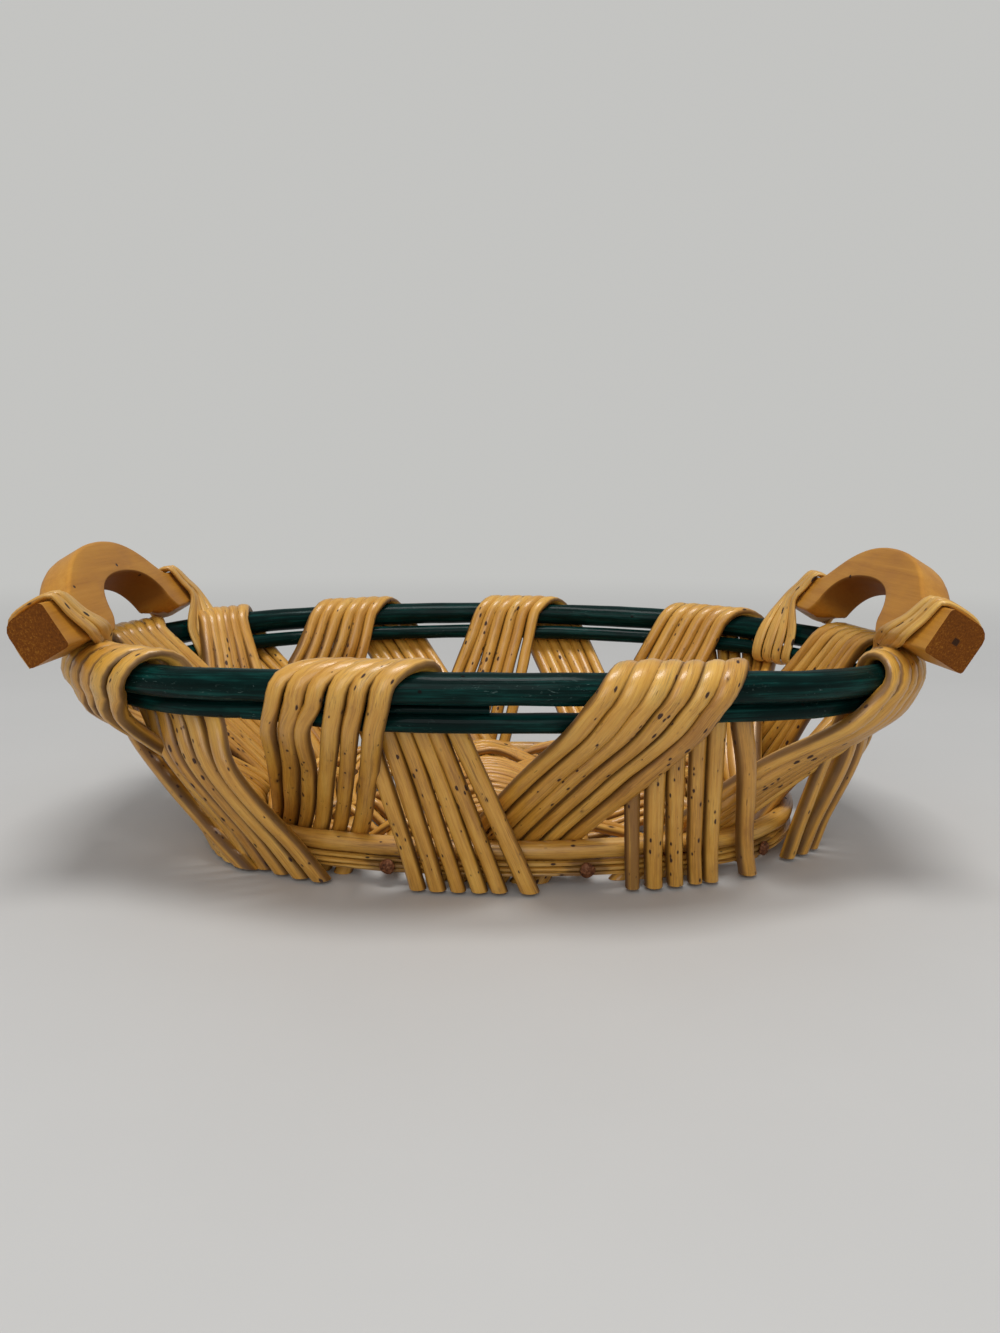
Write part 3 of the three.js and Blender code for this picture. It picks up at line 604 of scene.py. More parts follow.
def buildBaseHoops():
    rng = random.Random("base hoops")
    skin = Skin()
    steps = round(baseOval.total / base["step"])
    stops = []
    for k in range(steps):
        point, normal = baseOval.at(baseOval.total * k / steps)
        point.z = upperZ + 0.3 * noise.noise(point * 0.02)
        stops.append({"point": point, "aside": normal, "wide": base["upper"], "deep": base["upper"] * 0.97})
    loft(skin, stops, {"tint": 0.55, "seed": 3.0, "uneven": 0.12, "bark": 0.28}, 16, True)
    makePiece("base_upper_rod", skin, "base_willow", ["base_hoop_upper"])

    skin = Skin()                       # a rod split into strips that lie on each other
    height = base["lower"] * 2 / base["splits"]
    boxes = [nodeBox(f"base_nail_{n}") for n in range(1, 7)]
    nailAt = [(low + high) / 2 for low, high in boxes]
    for n in range(base["splits"]):
        start = rng.uniform(0, baseOval.total)
        length = baseOval.total + rng.uniform(-14, -4)
        steps = round(length / base["step"])
        stops = []
        for k in range(steps + 1):
            station = start + length * k / steps
            wander = noise.noise(Vector((station * 0.02, n * 7.0, 0.0)))
            point, normal = baseOval.at(station, wander * 0.7 - 0.25 * (n != 1))
            point.z = lowerZ - base["lower"] + (n + 0.5) * height + 0.22 * wander
            end = ease(min(k, steps - k), 0, 4)
            stain = 1 - ease(min((point - spot).length for spot in nailAt), 4, 12)
            wide = base["splitWide"] + base["middleWider"] * (n == 1)
            stops.append({"point": point, "aside": normal, "wide": lerp(base["splitTip"], wide, end),
                          "deep": height * 0.5 * lerp(0.5, 0.97, end), "wear": 0.2,
                          "bark": base["stain"] * stain})
        loft(skin, stops, {"tint": rng.uniform(0.4, 0.8), "seed": 4.0 + n, "uneven": 0.14,
                           "bark": rng.uniform(0.2, 0.36)}, 12, False, 3.0)
    makePiece("base_split_rod", skin, "base_willow", ["base_hoop_lower"])


buildBaseHoops()
print("base hoops: a round rod over a split one")


# side rods

bundles = [                             # first and last rod: millimetres round the rim or the base hoop
    {"side": "front_left_corner", "outerRim": (-197, -147), "innerRim": (-184, -127),
     "outerFoot": (-184, -150), "innerFoot": (-126, -85), "loose": 2.4, "outerBow": 5.0, "innerBow": 7.0,
     "innerOff": [2.5] * 6},
    {"side": "front_left", "outerRim": (-79.6, -41.9), "innerRim": (-56, -25), "outerFoot": (-115, -68),
     "innerFoot": (-42, -4.0), "outerElbow": [0.3, 0, -2.0, 0.8, 0.3, 0],
     "innerApart": [0, 0, 0, 0, -0.5, 2.5], "outerTwist": 0.0, "innerTwist": 0.0, "early": 0.6,
     "thick": [1, 1, 1, 0.9, 1, 1.16]},
    {"side": "front_right", "outerRim": (32, 75), "innerRim": (51.2, 93), "outerFoot": (-21.5, 20),
     "innerFoot": (43.7, 86), "innerApart": [0, 0, 0, 0, -1.5, 5.0], "innerBark": [0.75, 0, 0, 0, 0, 0],
     "thick": [1, 1.04, 1, 0.96, 0.96, 1.16]},
    {"side": "front_right_corner", "outerRim": (150, 198), "innerRim": (168, 212), "outerFoot": (61.4, 92.1),
     "innerFoot": (123, 160), "loose": 1.5, "innerBow": 5.0, "innerTwist": 5.0,
     "innerOff": [2, 5, 8, 8, 7, 6]},
    {"side": "right_end", "outerRim": (224, 262), "innerRim": (244, 284), "outerFoot": (124, 156),
     "innerFoot": (198, 233), "innerOff": [3] * 6},
    {"side": "back_right_corner", "outerRim": (329, 363), "innerRim": (350, 384), "outerFoot": (181.6, 215),
     "innerFoot": (262, 296)},
    {"side": "back_right", "outerRim": (437, 467), "innerRim": (459, 491), "outerFoot": (266.4, 300),
     "innerFoot": (344, 384)},
    {"side": "back_left", "outerRim": (533, 563), "innerRim": (555, 587), "outerFoot": (350, 383.5),
     "innerFoot": (432, 466), "innerBow": 8.0},
    {"side": "back_left_corner", "outerRim": (617, 648), "innerRim": (632, 656), "outerFoot": (431, 464),
     "innerFoot": (472, 505), "outerBow": -9.0},
    {"side": "left_end", "outerRim": (667, 710), "innerRim": (688, 731), "outerFoot": (519, 552.6),
     "innerFoot": (467, 500), "crossed": False, "outerBow": 6.0, "outerOff": [8] * 6},
]
rods = {"count": 6, "radius": 3.3, "girth": (0.9, 1.12), "twist": 3.0, "wrapSteps": 10, "wrapReach": 8.7,
        "wrapThin": 0.34, "baseReach": 7.4, "wrapFill": 0.46, "wrapMost": 1.22, "wrapTight": 0.45,
        "cutZ": 1.5, "slip": 0.55, "sway": 0.6, "step": 3.0, "sides": 14}


def legStops(leg, high):                # from the floor up to where a rod bends over the rim
    baseSide, rimSide, station = leg["baseSide"], leg["rimSide"], leg["foot"]
    normal = baseOval.at(station)[1]
    aside = baseOval.tangent(station)
    reach = rods["baseReach"] + leg["off"]
    foot = baseOval.at(station, baseSide * reach, upperZ)[0]
    middle = lerp(foot, high, 0.5) + normal * leg["twist"] + aside * leg["sway"]
    rise = middle - foot
    drift = rise.dot(aside) / rise.z    # how far the rod runs along the hoop for each millimetre down
    lean = math.atan2(rise.dot(normal), rise.z)
    level = rimZ(high.x) - rimDrop - rim["lower"]
    passing = lerp(high, middle, (high.z - level) / (high.z - middle.z)) + aside * leg["elbow"]
    least = (rim["lower"] + rods["radius"] + 0.2) / math.cos(lean)
    outward = underOval.at(underOval.stationOf(passing))[1]
    passing += outward * rimSide * max(0.0, least - rimSide * underOval.offsetOf(passing))

    def stop(point, wear=0.0, wide=rods["radius"], deep=rods["radius"]):
        return {"point": point, "aside": aside.copy(), "wear": wear, "wide": wide, "deep": deep}

    def below(offset, z):               # a place on the rod's line, under the upper hoop
        return baseOval.at(station - drift * (upperZ - z), offset, z)[0]

    if baseSide > 0:                    # runs on down past the lower hoop
        foot += normal * 0.6 * math.tan(lean) * (upperZ - lowerZ)
        clear = max(base["lower"] + rods["radius"], reach - 0.4 * math.tan(lean) * upperZ)
        start = [stop(below(clear, rods["cutZ"]), 0.2)]
    else:
        start = [stop(below(-reach, floorGap))]
    stops = start + [stop(foot, 0.1), stop(middle), stop(passing, 0.2)]
    for one in stops:
        one["bark"] = leg["bark"]
    return stops


def legSlope(footStation, rimStation, baseSide, rimSide):   # how far a leg leans out from upright
    normal = baseOval.at(footStation)[1]
    foot = baseOval.at(footStation, baseSide * rods["baseReach"])[0]
    top = rimOval.at(rimStation, rimSide * rods["wrapReach"])[0]
    return math.atan2((top - foot).dot(normal), rimMiddle - upperZ)


def rodStops(bundle, index, rng):
    share = index / (rods["count"] - 1)
    crossed = bundle.get("crossed", True)
    slip = rng.uniform(-1, 1) * rods["slip"]
    places = {key: lerp(*bundle[key], share) + slip for key in ("outerRim", "innerRim")}
    places |= {key: lerp(*bundle[key], share) for key in ("outerFoot", "innerFoot")}
    legs = []
    for side, rimSide in (("outer", 1), ("inner", -1)):
        baseSide = -rimSide if crossed else rimSide
        own = {key: bundle.get(side + key, [0] * rods["count"])[index]
               for key in ("Apart", "Off", "Bark", "Elbow")}
        twist = bundle.get(side + "Twist", rods["twist"]) * (2 * share - 1) ** 3
        legs.append({"foot": places[side + "Foot"] + own["Apart"], "baseSide": baseSide, "rimSide": rimSide,
                     "slope": legSlope(places[side + "Foot"], places[side + "Rim"], baseSide, rimSide),
                     "twist": twist + bundle.get(side + "Bow", 0.0), "off": own["Off"], "bark": own["Bark"],
                     "sway": rng.uniform(-1, 1) * rods["sway"],
                     "elbow": own["Elbow"] + rng.uniform(-0.5, 0.5) * rods["sway"]})
    low, high = -legs[0]["slope"], math.pi - legs[1]["slope"]
    wrap = []
    for k in range(rods["wrapSteps"] + 1):
        t = k / rods["wrapSteps"]
        turn = lerp(low, high, t)
        shift = lerp(t, ease(t, 0.22, 0.9), bundle.get("early", 0.0))
        station = lerp(places["outerRim"], places["innerRim"], shift)
        tight = math.sin(math.pi * t)
        reach = rods["wrapReach"] + (bundle.get("loose", 0.0) - rods["wrapTight"]) * tight
        point = rimOval.at(station, reach * math.cos(turn))[0]
        point.z = rimZ(point.x) + reach * math.sin(turn)
        wrap.append({"point": point, "aside": rimOval.tangent(station), "bark": 0.0,
                     "wear": 0.3 + 0.7 * tight, "wide": rods["radius"] * (1 + 0.05 * tight),
                     "deep": rods["radius"] * (1 - rods["wrapThin"] * tight)})
    outer, inner = legStops(legs[0], wrap[0]["point"]), legStops(legs[1], wrap[-1]["point"])
    stops = outer + wrap + inner[::-1]
    cuts = [rods["cutZ"], floorGap] if legs[0]["baseSide"] > 0 else [floorGap, rods["cutZ"]]
    pitch = abs(bundle["outerRim"][1] - bundle["outerRim"][0]) / (rods["count"] - 1)
    flat = min(max(rods["wrapFill"] * pitch / rods["radius"], 1.0), rods["wrapMost"])
    for stop in stops:                  # flattened and wider towards the rim
        stop["wide"] *= lerp(1.0, flat, ease(stop["point"].z, 30, 80))
    return stops, cuts


def buildSideRods():
    for bundle in bundles:
        rng = random.Random(bundle["side"])
        skins = {"a": Skin(), "b": Skin()}
        for index in range(rods["count"]):
            stops, cuts = rodStops(bundle, index, rng)
            girth = rng.uniform(*rods["girth"]) * bundle.get("thick", [1] * rods["count"])[index]
            taper = rng.uniform(-0.05, 0.05)
            for k, stop in enumerate(stops):
                scale = girth + taper * (2 * k / (len(stops) - 1) - 1)
                stop["wide"] *= scale
                stop["deep"] *= scale
            path = smoothPath(stops, rods["step"])
            look = {"tint": rng.uniform(0.2, 0.9), "seed": rng.uniform(0, 50), "uneven": 0.08, "crevice": 1.0,
                    "bark": rng.choice([0.0, 0.04, 0.08, 0.14, 0.22])}
            ends = {0: cuts[0], len(path) - 1: cuts[1]}
            loft(skins["ab"[index // 3]], path, look, rods["sides"], floor=ends)
        for letter, skin in skins.items():
            name = f"rods_{bundle['side']}_{letter}"
            makePiece(name, skin, "side_willow", ["side_" + name])


buildSideRods()
print("side rods:", len(bundles) * rods["count"])


# woven base

mat = {"crown": 14.0, "crownNear": 1.8, "crownFar": 0.4, "stick": 3.8, "slack": 0.3, "sharp": 0.45,
       "wander": 1.1, "stickShift": -4.0, "stickPitch": 39.04, "fanSticks": 5, "fanPitch": 34.0,
       "fanGap": 3.7, "bands": 3, "bandWidth": 18.0, "bandGap": 0.5, "weaversPerBand": 4, "weaver": 2.05,
       "edge": -12.6, "stickEnd": -4.0, "step": 3.5, "centreWeavers": 6, "centreInset": 2.5}
baseHalfLength = baseOval.endCentre + baseOval.endRadius
baseHalfWidth = baseOval.endRadius + base["endInset"]


def crown(x, y):                        # how far the mat rises in its middle, fuller at the back
    spread = ((x - baseOval.shift) / baseHalfLength) ** 2 + (y / baseHalfWidth) ** 2
    shape = lerp(mat["crownNear"], mat["crownFar"], ease(y, -40, 40))
    return mat["crown"] * max(0.0, 1 - spread) ** shape


def bandOval(inset):
    return Oval(baseHalfLength + inset, baseHalfWidth + inset, base["endInset"], baseOval.shift)


bandInsets = [mat["edge"] - mat["bandWidth"] / 2 - band * (mat["bandWidth"] + mat["bandGap"])
              for band in range(mat["bands"])]


def baseSticks():
    inner = bandOval(bandInsets[-1])
    sticks = []
    for i in (-1, 0, 1):
        sticks.append({"name": f"cross_{i + 2}", "through": True,
                       "stop": mat["stickEnd"] if i else mat["edge"],
                       "origin": Vector((mat["stickShift"] + i * mat["stickPitch"], 0, 0)),
                       "direction": Vector((0, -1, 0))})
    for end, side in ((1, "right"), (-1, "left")):
        for i in range(mat["fanSticks"]):
            angle = math.radians((i - (mat["fanSticks"] - 1) / 2) * mat["fanPitch"])
            sticks.append({"name": f"{side}_{i + 1}", "through": False, "stop": mat["edge"],
                           "origin": Vector((baseOval.shift + end * inner.endCentre, 0, 0)),
                           "direction": Vector((end * math.cos(angle), end * math.sin(angle), 0))})
    return sticks


def buildMat():
    rng = random.Random("mat")
    sticks = baseSticks()
    inner = bandOval(bandInsets[-1])
    for stick in sticks:
        far = baseOval.runTo(stick["origin"], stick["direction"], stick["stop"])
        fanned = inner.runTo(stick["origin"], stick["direction"], mat["bandWidth"] / 2 + mat["fanGap"])
        near = -far if stick["through"] else fanned
        steps = max(4, round((far - near) / 5))
        stops = []
        for k in range(steps + 1):
            point = stick["origin"] + stick["direction"] * lerp(near, far, k / steps)
            point.z = lowerZ + crown(point.x, point.y)
            stops.append({"point": point, "aside": up.cross(stick["direction"]), "wide": mat["stick"],
                          "deep": mat["stick"], "wear": 0.1})
        skin = Skin()
        loft(skin, stops, drawLook(rng, (0.3, 0.6), 0.2, 0.08), 12)
        makePiece(f"stick_{stick['name']}", skin, "base_willow", [f"base_stick_{stick['name']}"])

    for band, inset in enumerate(bandInsets):
        middle = bandOval(inset)
        crossings = []                  # where the band meets the sticks, in turns
        for stick in sticks:
            if not stick["through"] and band == mat["bands"] - 1:
                continue
            run = middle.runTo(stick["origin"], stick["direction"], 0)
            for reach in ((run, -run) if stick["through"] else (run,)):
                spot = stick["origin"] + stick["direction"] * reach
                crossings.append(middle.stationOf(spot) / middle.total)
        crossings.sort()
        skin = Skin()
        for n in range(mat["weaversPerBand"]):
            side = (n - (mat["weaversPerBand"] - 1) / 2) * mat["bandWidth"] / mat["weaversPerBand"]
            oval = bandOval(inset + side)
            steps = round(oval.total / mat["step"])
            stops = [weaverStop(oval, k / steps - 0.5, crossings, band, n) for k in range(steps)]
            loft(skin, stops, drawLook(rng, (0.25, 0.8), 0.2, 0.12, 0.9), 10, True)
        makePiece(f"weavers_band_{band + 1}", skin, "woven_willow", [f"base_weavers_{band + 1}"])

    skin = Skin()                       # weavers that fill the middle
    opening = bandOval(bandInsets[-1] - mat["bandWidth"] / 2 - mat["bandGap"] - mat["weaver"])
    outline = [opening.at(opening.total * k / 400)[0] for k in range(400)]
    tip = opening.endCentre + opening.endRadius - mat["centreInset"]
    steps = round(2 * tip / mat["step"])
    for n in range(mat["centreWeavers"]):
        side = 2 * n / (mat["centreWeavers"] - 1) - 1
        stops = []
        for k in range(steps + 1):
            x = opening.shift + lerp(-tip, tip, k / steps)
            half = abs(min(outline, key=lambda p: abs(p.x - x)).y)
            past = abs(x - mat["stickShift"]) - mat["stickPitch"]
            swing = math.cos(math.pi * (x - mat["stickShift"]) / mat["stickPitch"])
            lift = swing if past < 0 else ease(past, 3, 14) - 1
            point = Vector((x, side * half, 0))
            point.z = lowerZ + crown(point.x, point.y) + lift * (mat["stick"] + mat["weaver"])
            stops.append({"point": point, "aside": Vector((0, 1, 0)),
                          "wide": mat["weaver"], "deep": mat["weaver"]})
        look = {"tint": rng.uniform(0.3, 0.8), "seed": rng.uniform(0, 50), "uneven": 0.1, "crevice": 0.9}
        loft(skin, smoothPath(stops, mat["step"]), look, 10)
    makePiece("weavers_centre", skin, "woven_willow", ["base_weavers_centre"])


def weaverStop(oval, turn, crossings, band, n):     # over one stick and under the next
    nearest = crossings + [crossings[0] + 1.0]
    before = [i for i, c in enumerate(nearest) if c <= turn]
    i = before[-1] if before else len(crossings) - 1
    low = nearest[i] if before else crossings[-1] - 1.0
    high = nearest[i + 1] if before and i + 1 < len(nearest) else crossings[0] + (1.0 if before else 0.0)
    pair = n // 2 if band == 0 else 0   # the outer band is woven in pairs
    sign = 1 if (i + band + pair) % 2 else -1
    share = (turn - low) / (high - low)
    point, normal = oval.at(turn * oval.total)
    wave = lerp(math.cos(math.pi * share), 1 - 2 * share, mat["sharp"])
    lift = sign * wave * (mat["stick"] + mat["weaver"] + mat["slack"])
    wander = noise.noise(Vector((turn * 40, n * 3.1, band * 5.7)))
    point += normal * wander * 0.5
    point.z = lowerZ + crown(point.x, point.y) + lift + mat["wander"] * wander
    return {"point": point, "aside": normal, "wide": mat["weaver"], "deep": mat["weaver"], "wear": 0.1}


buildMat()
print("woven base: sticks and weavers")


# nails

nailLook = {"head": 3.1, "height": 1.7, "edge": 0.5, "shank": 0.9, "rings": 6, "sides": 20}


def buildNails():
    for n in range(1, 7):
        low, high = nodeBox(f"base_nail_{n}")
        middle = (low + high) / 2
        outward = baseOval.at(baseOval.stationOf(middle))[1]
        seat = baseOval.at(baseOval.stationOf(middle), base["lower"] + 0.3, lowerZ)[0]
        aside = up.cross(outward)
        skin = Skin()
        rings = []
        profile = [(nailLook["shank"], -6.0), (nailLook["shank"], -0.2), (nailLook["head"], -0.1),
                   (nailLook["head"] * 1.03, nailLook["edge"])]
        for k in range(1, nailLook["rings"] + 1):
            angle = math.radians(90 * k / nailLook["rings"])
            radius = nailLook["head"] * max(0.02, math.cos(angle))
            profile.append((radius, lerp(nailLook["edge"], nailLook["height"], math.sin(angle))))
        for radius, height in profile:
            points = []
            for i in range(nailLook["sides"]):
                angle = 2 * math.pi * i / nailLook["sides"]
                dent = 1 + 0.12 * noise.noise(Vector((math.cos(angle), math.sin(angle), n * 3.0)))
                point = seat + aside * radius * dent * math.cos(angle)
                point += up * radius * dent * math.sin(angle)
                point += outward * height * (1 + 0.2 * noise.noise(Vector((radius, angle, n * 5.0))))
                points.append(point)
            rings.append(skin.addRing(points, [p.copy() for p in points], {}))
        for here, there in zip(rings, rings[1:]):
            skin.join(here, there, nailLook["sides"])
        skin.cap([rings[0] + i for i in range(nailLook["sides"])], {}, True)
        skin.cap([rings[-1] + i for i in range(nailLook["sides"])], {}, False)
        makePiece(f"nail_{n}", skin, "rusty_steel", [f"base_nail_{n}"])


buildNails()
print("nails: 6")


# handles

handle = {"span": 190.0, "height": 40.5, "thick": 17.5, "footHeight": 19.0, "footLength": 22.0, "grip": 17.0,
          "nearGap": 37.0, "farGap": 50.0, "farShare": 0.79, "middle": 4.0, "lean": 31.0, "inset": 14.0,
          "raise": 11.5, "steps": 30, "gapShoulder": 0.8, "gapCrown": 0.6, "archShoulder": 0.78,
          "archCrown": 0.7, "saddle": 12.6, "footCorner": 8.0, "corners": (5.5, 1.5, 1.5, 1.8)}
leanAngle = math.radians(handle["lean"])
leanOut = Vector((math.sin(leanAngle), 0, math.cos(leanAngle)))
boardOut = Vector((math.cos(leanAngle), 0, -math.sin(leanAngle)))
boardFoot = Vector((rimHigh.x - rim["upper"] - handle["inset"], 0, rimMiddle - rim["dip"] + handle["raise"]))


def boardY(across, turned):             # the half away from the camera is shorter
    y = -across if turned else across
    y *= handle["farShare"] if y > 0 else 1.0
    return y - handle["middle"] * (1 - (2 * y / handle["span"]) ** 2)


def bezier(a, b, c, d, t):
    return a * (1 - t) ** 3 + b * 3 * t * (1 - t) ** 2 + c * 3 * t * t * (1 - t) + d * t ** 3


def handleEdges(gap):                   # pairs of points under and over the grip, along half the board
    span = handle["span"] / 2
    arch = span - handle["footLength"]
    under = handle["height"] - handle["grip"]
    steps = handle["steps"]
    foot, top = handle["footHeight"], handle["height"]
    corner = gap + handle["footCorner"]
    pairs = []
    for k in range(9):
        share = k / 8
        pairs.append((Vector((lerp(span, corner, share), 0)), Vector((lerp(span, arch, share), foot))))
    for k in range(1, steps + 1):
        t = k / steps
        low = bezier(Vector((gap, 0)), Vector((gap, under * handle["gapShoulder"])),
                     Vector((gap * handle["gapCrown"], under)), Vector((0, under)), t)
        if k < 4:
            low = lerp(Vector((corner, 0)), low, ease(k / 4, 0, 1))
        high = bezier(Vector((arch, foot)), Vector((arch * handle["archShoulder"], foot)),
                      Vector((arch * handle["archCrown"], top)), Vector((0, top)), t)
        pairs.append((low, high))
    return pairs


def boardSection(low, high):            # rounded rectangle round the board, as (height, out) pairs
    thick = handle["thick"] / 2
    tall = (high - low).length
    corners = []
    for n, turn in enumerate(handle["corners"]):
        y = tall - turn if n in (0, 3) else turn
        z = thick - turn if n < 2 else turn - thick
        corners.append((y, z, turn, 90 * n))
    points = []
    for n, (y, z, turn, first) in enumerate(corners):
        for k in range(5):
            angle = math.radians(first + 90 * k / 4)
            points.append((y + turn * math.cos(angle), z + turn * math.sin(angle)))
        nextY, nextZ, nextTurn, nextFirst = corners[(n + 1) % 4]
        a = Vector(points[-1])
        angle = math.radians(nextFirst)
        b = Vector((nextY + nextTurn * math.cos(angle), nextZ + nextTurn * math.sin(angle)))
        for k in range(1, 5):
            points.append(tuple(lerp(a, b, k / 5)))
    return points


def buildHandle(side, turned):
    flip = -1 if turned else 1
    gaps = ("nearGap", "farGap") if turned else ("farGap", "nearGap")
    plus, minus = (handleEdges(handle[key]) for key in gaps)
    mirrored = [(Vector((-a.x, a.y)), Vector((-b.x, b.y))) for a, b in minus[-2::-1]]
    rng = random.Random(side)
    skin = Skin()
    rings = []
    offset = Vector((rng.uniform(0, 300), rng.uniform(0, 80), rng.uniform(0, 80)))
    for low, high in plus + mirrored:
        axis = (high - low).normalized()
        points, grain, shade = [], [], []
        for tall, out in boardSection(low, high):
            flat = low + axis * tall
            point = boardFoot + leanOut * flat.y + boardOut * out
            point.y = boardY(flat.x, turned) * flip
            for _ in range(40):         # hollow the foot where it sits on the rods
                axisPoint = rimOval.at(rimOval.stationOf(point))[0]
                axisPoint.z = rimZ(axisPoint.x)
                if (point - axisPoint).length >= handle["saddle"]:
                    break
                point += leanOut * 0.4
            grain.append(Vector((flat.x, flat.y, out)) + offset)
            # painted shade on the underside of the grip, stored in the wear mark
            shade.append(ease(low.y, 1, 12) * (tall < 1.0))
            points.append(Vector((point.x * flip, point.y * flip, point.z)))
        rings.append(skin.addRing(points, grain, {"tint": 0.5, "wear": shade}))
    count = len(boardSection(*plus[0]))
    for here, there in zip(rings, rings[1:]):
        skin.join(there, here, count)
    skin.cap([rings[0] + i for i in range(count)], {}, False)
    skin.cap([rings[-1] + i for i in range(count)], {}, True, 0.0 if turned else 1.0)
    makePiece(f"carved_handle_{side}", skin, "handle_wood", [f"handle_{side}"], 40)


buildHandle("right", False)
buildHandle("left", True)
print("handles: 2")


# lashings

lashings = [                            # rim: millimetres round it; pass: along the board's lower edge
    {"name": "right_front", "rim": 212, "end": -1, "pass": 68, "fan": 1.25, "turned": False},
    {"name": "right_back", "rim": 314, "end": 1, "pass": 90, "fan": 1.5, "turned": False},
    {"name": "left_back", "rim": 655, "end": -1, "pass": 90, "fan": 1.5, "turned": True},
    {"name": "left_front", "rim": -203, "end": 1, "pass": 68, "fan": 1.25, "turned": True},
]
strips = {"count": 4, "wide": 2.6, "deep": 1.15, "spread": 4.2, "inset": 13.5, "step": 2.5}


def buildLashing(lashing):
    rng = random.Random(lashing["name"])
    end = lashing["end"]
    footY = end * (handle["span"] / 2 - strips["inset"])
    flip = -1 if lashing["turned"] else 1
    skin = Skin()
    for n in range(strips["count"]):
        slide = (n - (strips["count"] - 1) / 2) * strips["spread"]
        half = strips["deep"] + 0.3 + 0.5 * (n % 2) + rng.uniform(0, 0.3)
        wide = strips["wide"] * rng.uniform(0.88, 1.12)

        def onBoard(out, high, across):
            point = boardFoot + boardOut * out + leanOut * high
            return {"point": Vector((point.x * flip, boardY(across, lashing["turned"]), point.z)),
                    "aside": Vector((0, flip, 0)), "wide": wide, "deep": strips["deep"], "wear": 0.3}

        def around(oval, drop, reach, angle):
            station = lashing["rim"] / rimOval.total * oval.total + slide * lashing["fan"]
            point, normal = oval.at(station, reach * math.cos(math.radians(angle)))
            point.z = rimZ(point.x) - drop + reach * math.sin(math.radians(angle))
            return {"point": point, "aside": up.cross(normal), "wide": wide,
                    "deep": strips["deep"], "wear": 0.5}

        lowReach = rim["lower"] + half
        highReach = rim["upper"] + half
        board = handle["thick"] / 2 + half
        top = handle["footHeight"] + half
        foot = footY + slide * 0.72
        cross = end * lashing["pass"] + slide * 1.3
        stops = [around(underOval, rimDrop, lowReach, a) for a in (-70, -110, -150)]
        stops += [around(rimOval, 0, highReach, 172),
                  onBoard(-board - 0.4, 3.0, cross), onBoard(-board, 11.0, lerp(cross, foot, 0.55)),
                  onBoard(0.8 - board, top - 1.0, foot - end * 1.5), onBoard(3.0 - board, top, foot - end),
                  onBoard(board - 5.0, top - 0.4, foot), onBoard(board - 1.6, top - 3.0, foot),
                  onBoard(board, handle["footHeight"] * 0.5, foot + end), onBoard(board, 1.0, foot + end)]
        path = smoothPath(stops, strips["step"])
        loft(skin, path, drawLook(rng, (0.6, 1.0), 0.14, 0.12, 0.7), 12, False, 2.4)
    makePiece(f"lashing_{lashing['name']}", skin, "lashing_willow", [f"handle_lashing_{lashing['name']}"])


for lashing in lashings:
    buildLashing(lashing)
print("lashings:", len(lashings))


# stage, light and camera

stage = {"floor": (0.56, 0.55, 0.53), "far": (0.55, 0.55, 0.535), "size": 12.0, "fade": (0.35, 1.6),
         "sky": (0.95, 0.97, 1.0), "skyStrength": 0.44}


def buildStage():
    material, tree = startMaterial("paleFloor")
    place = tree.add("ShaderNodeNewGeometry")
    mottle = place.noise(6.0, 4.0, 0.6)
    colour = mottle.ramp([(0.3, [c * 0.97 for c in stage["floor"]]), (0.7, stage["floor"])])
    floor = tree.add("ShaderNodeBsdfPrincipled", None,
                     {"Base Color": colour, "Roughness": mottle * 0.1 + 0.5})
    far = tree.add("ShaderNodeEmission", None, {"Color": (*stage["far"], 1.0)})
    away = place.add("ShaderNodeVectorMath", {"operation": "LENGTH"}, {0: place}, 1)
    seen = tree.add("ShaderNodeLightPath") * away.stepped(*stage["fade"])
    mixed = tree.add("ShaderNodeMixShader", None, {0: seen, 1: floor, 2: far})
    tree.add("ShaderNodeOutputMaterial", None, {"Surface": mixed})
    half = stage["size"] / 2
    mesh = bpy.data.meshes.new("floor")
    corners = [(-half, -half, 0), (half, -half, 0), (half, half, 0), (-half, half, 0)]
    mesh.from_pydata(corners, [], [(0, 1, 2, 3)])
    mesh.materials.append(material)
    floor = bpy.data.objects.new("floor", mesh)
    show(floor)


lamps = [
    {"name": "ceiling", "place": (0.05, -0.3, 2.1), "size": 0.8, "power": 24.0},
    {"name": "front", "place": (-0.2, -1.7, 0.9), "size": 1.2, "power": 9.0},
]


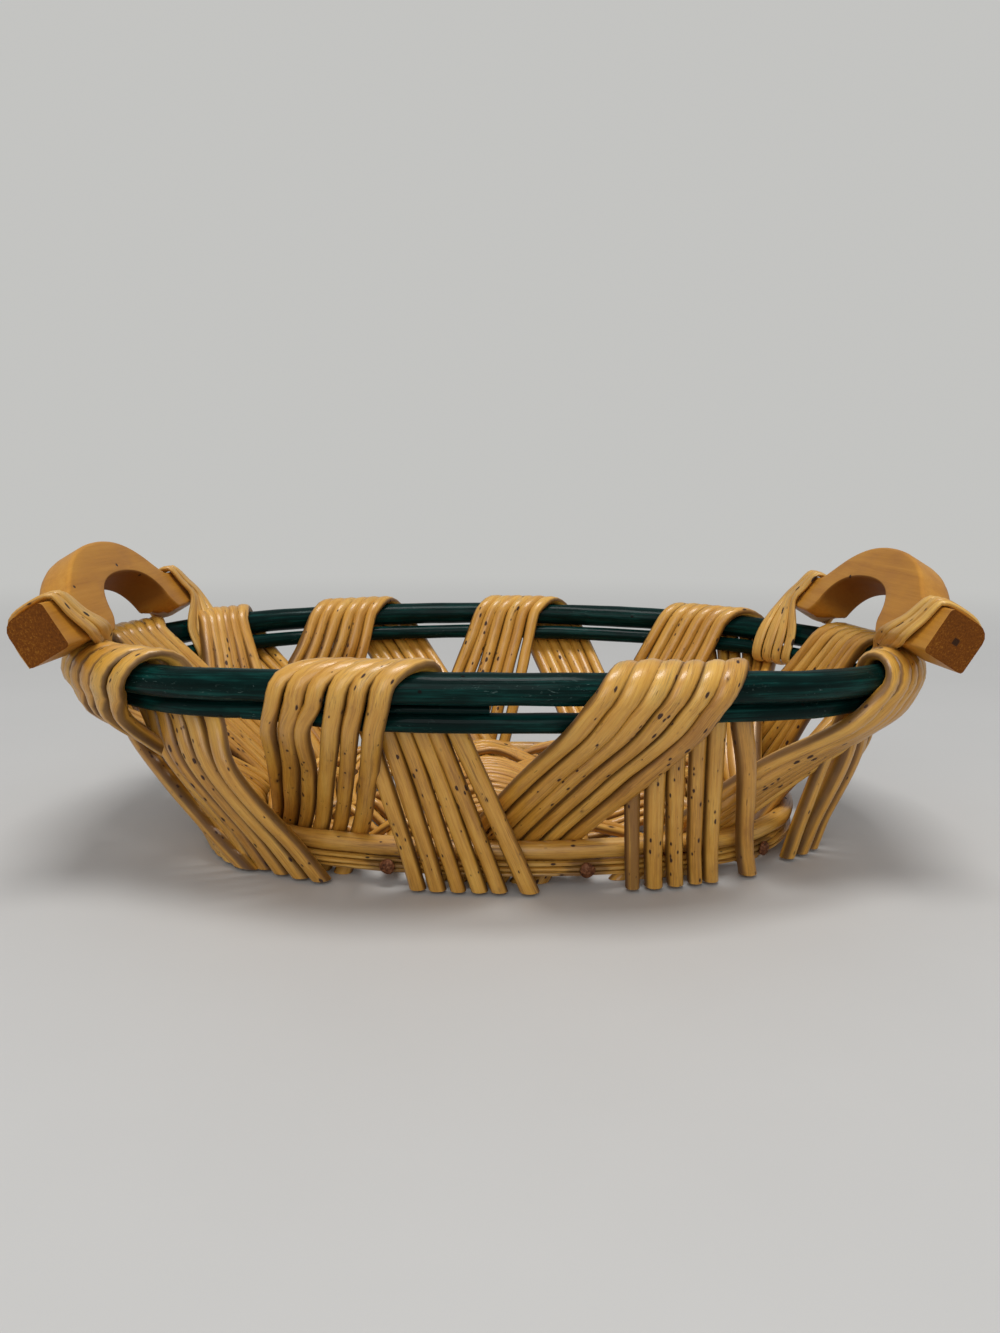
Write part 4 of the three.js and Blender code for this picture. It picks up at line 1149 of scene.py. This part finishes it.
def buildLight():
    for lamp in lamps:
        light = bpy.data.lights.new(lamp["name"], "AREA")
        light.size = lamp["size"]
        light.energy = lamp["power"]
        lampObject = bpy.data.objects.new(lamp["name"], light)
        lampObject.location = lamp["place"]
        lampObject.rotation_euler = (-Vector(lamp["place"])).to_track_quat("-Z", "Y").to_euler()
        show(lampObject)
    world = bpy.data.worlds.new("studio")
    bpy.context.scene.world = world
    world.use_nodes = True
    world.node_tree.nodes.clear()
    tree = Wire(world.node_tree)
    path = tree.add("ShaderNodeLightPath")
    shown = tree.add("ShaderNodeBackground", None, {"Color": (*stage["far"], 1.0), "Strength": 1.0})
    light = tree.add("ShaderNodeBackground", None,
                     {"Color": (*stage["sky"], 1.0), "Strength": stage["skyStrength"]})
    mixed = tree.add("ShaderNodeMixShader", None, {0: path, 1: light, 2: shown})
    tree.add("ShaderNodeOutputWorld", None, {"Surface": mixed})


view = {"place": (-7.417, -462.096, 154.117), "down": 0.167, "turn": 0.020, "roll": 0.009, "focal": 1.0}


def buildCamera():
    camera = bpy.data.cameras.new("camera")
    camera.sensor_fit = "HORIZONTAL"
    camera.lens = camera.sensor_width * view["focal"]
    camera.clip_start = 0.01
    ahead = Vector((math.sin(view["turn"]) * math.cos(view["down"]),
                    math.cos(view["turn"]) * math.cos(view["down"]), -math.sin(view["down"])))
    right = Vector((math.cos(view["turn"]), -math.sin(view["turn"]), 0))
    top = right.cross(ahead)
    rolled = right * math.cos(view["roll"]) + top * math.sin(view["roll"])
    raised = top * math.cos(view["roll"]) - right * math.sin(view["roll"])
    cameraObject = bpy.data.objects.new("camera", camera)
    matrix = cameraObject.matrix_world.to_3x3()
    for column, axis in enumerate((rolled, raised, -ahead)):
        for row in range(3):
            matrix[row][column] = axis[row]
    cameraObject.matrix_world = matrix.to_4x4()
    cameraObject.location = Vector(view["place"]) * mm
    show(cameraObject)
    bpy.context.scene.camera = cameraObject


buildStage()
buildLight()
buildCamera()
bpy.context.scene.view_settings.view_transform = "Standard"
print("stage, light and camera")
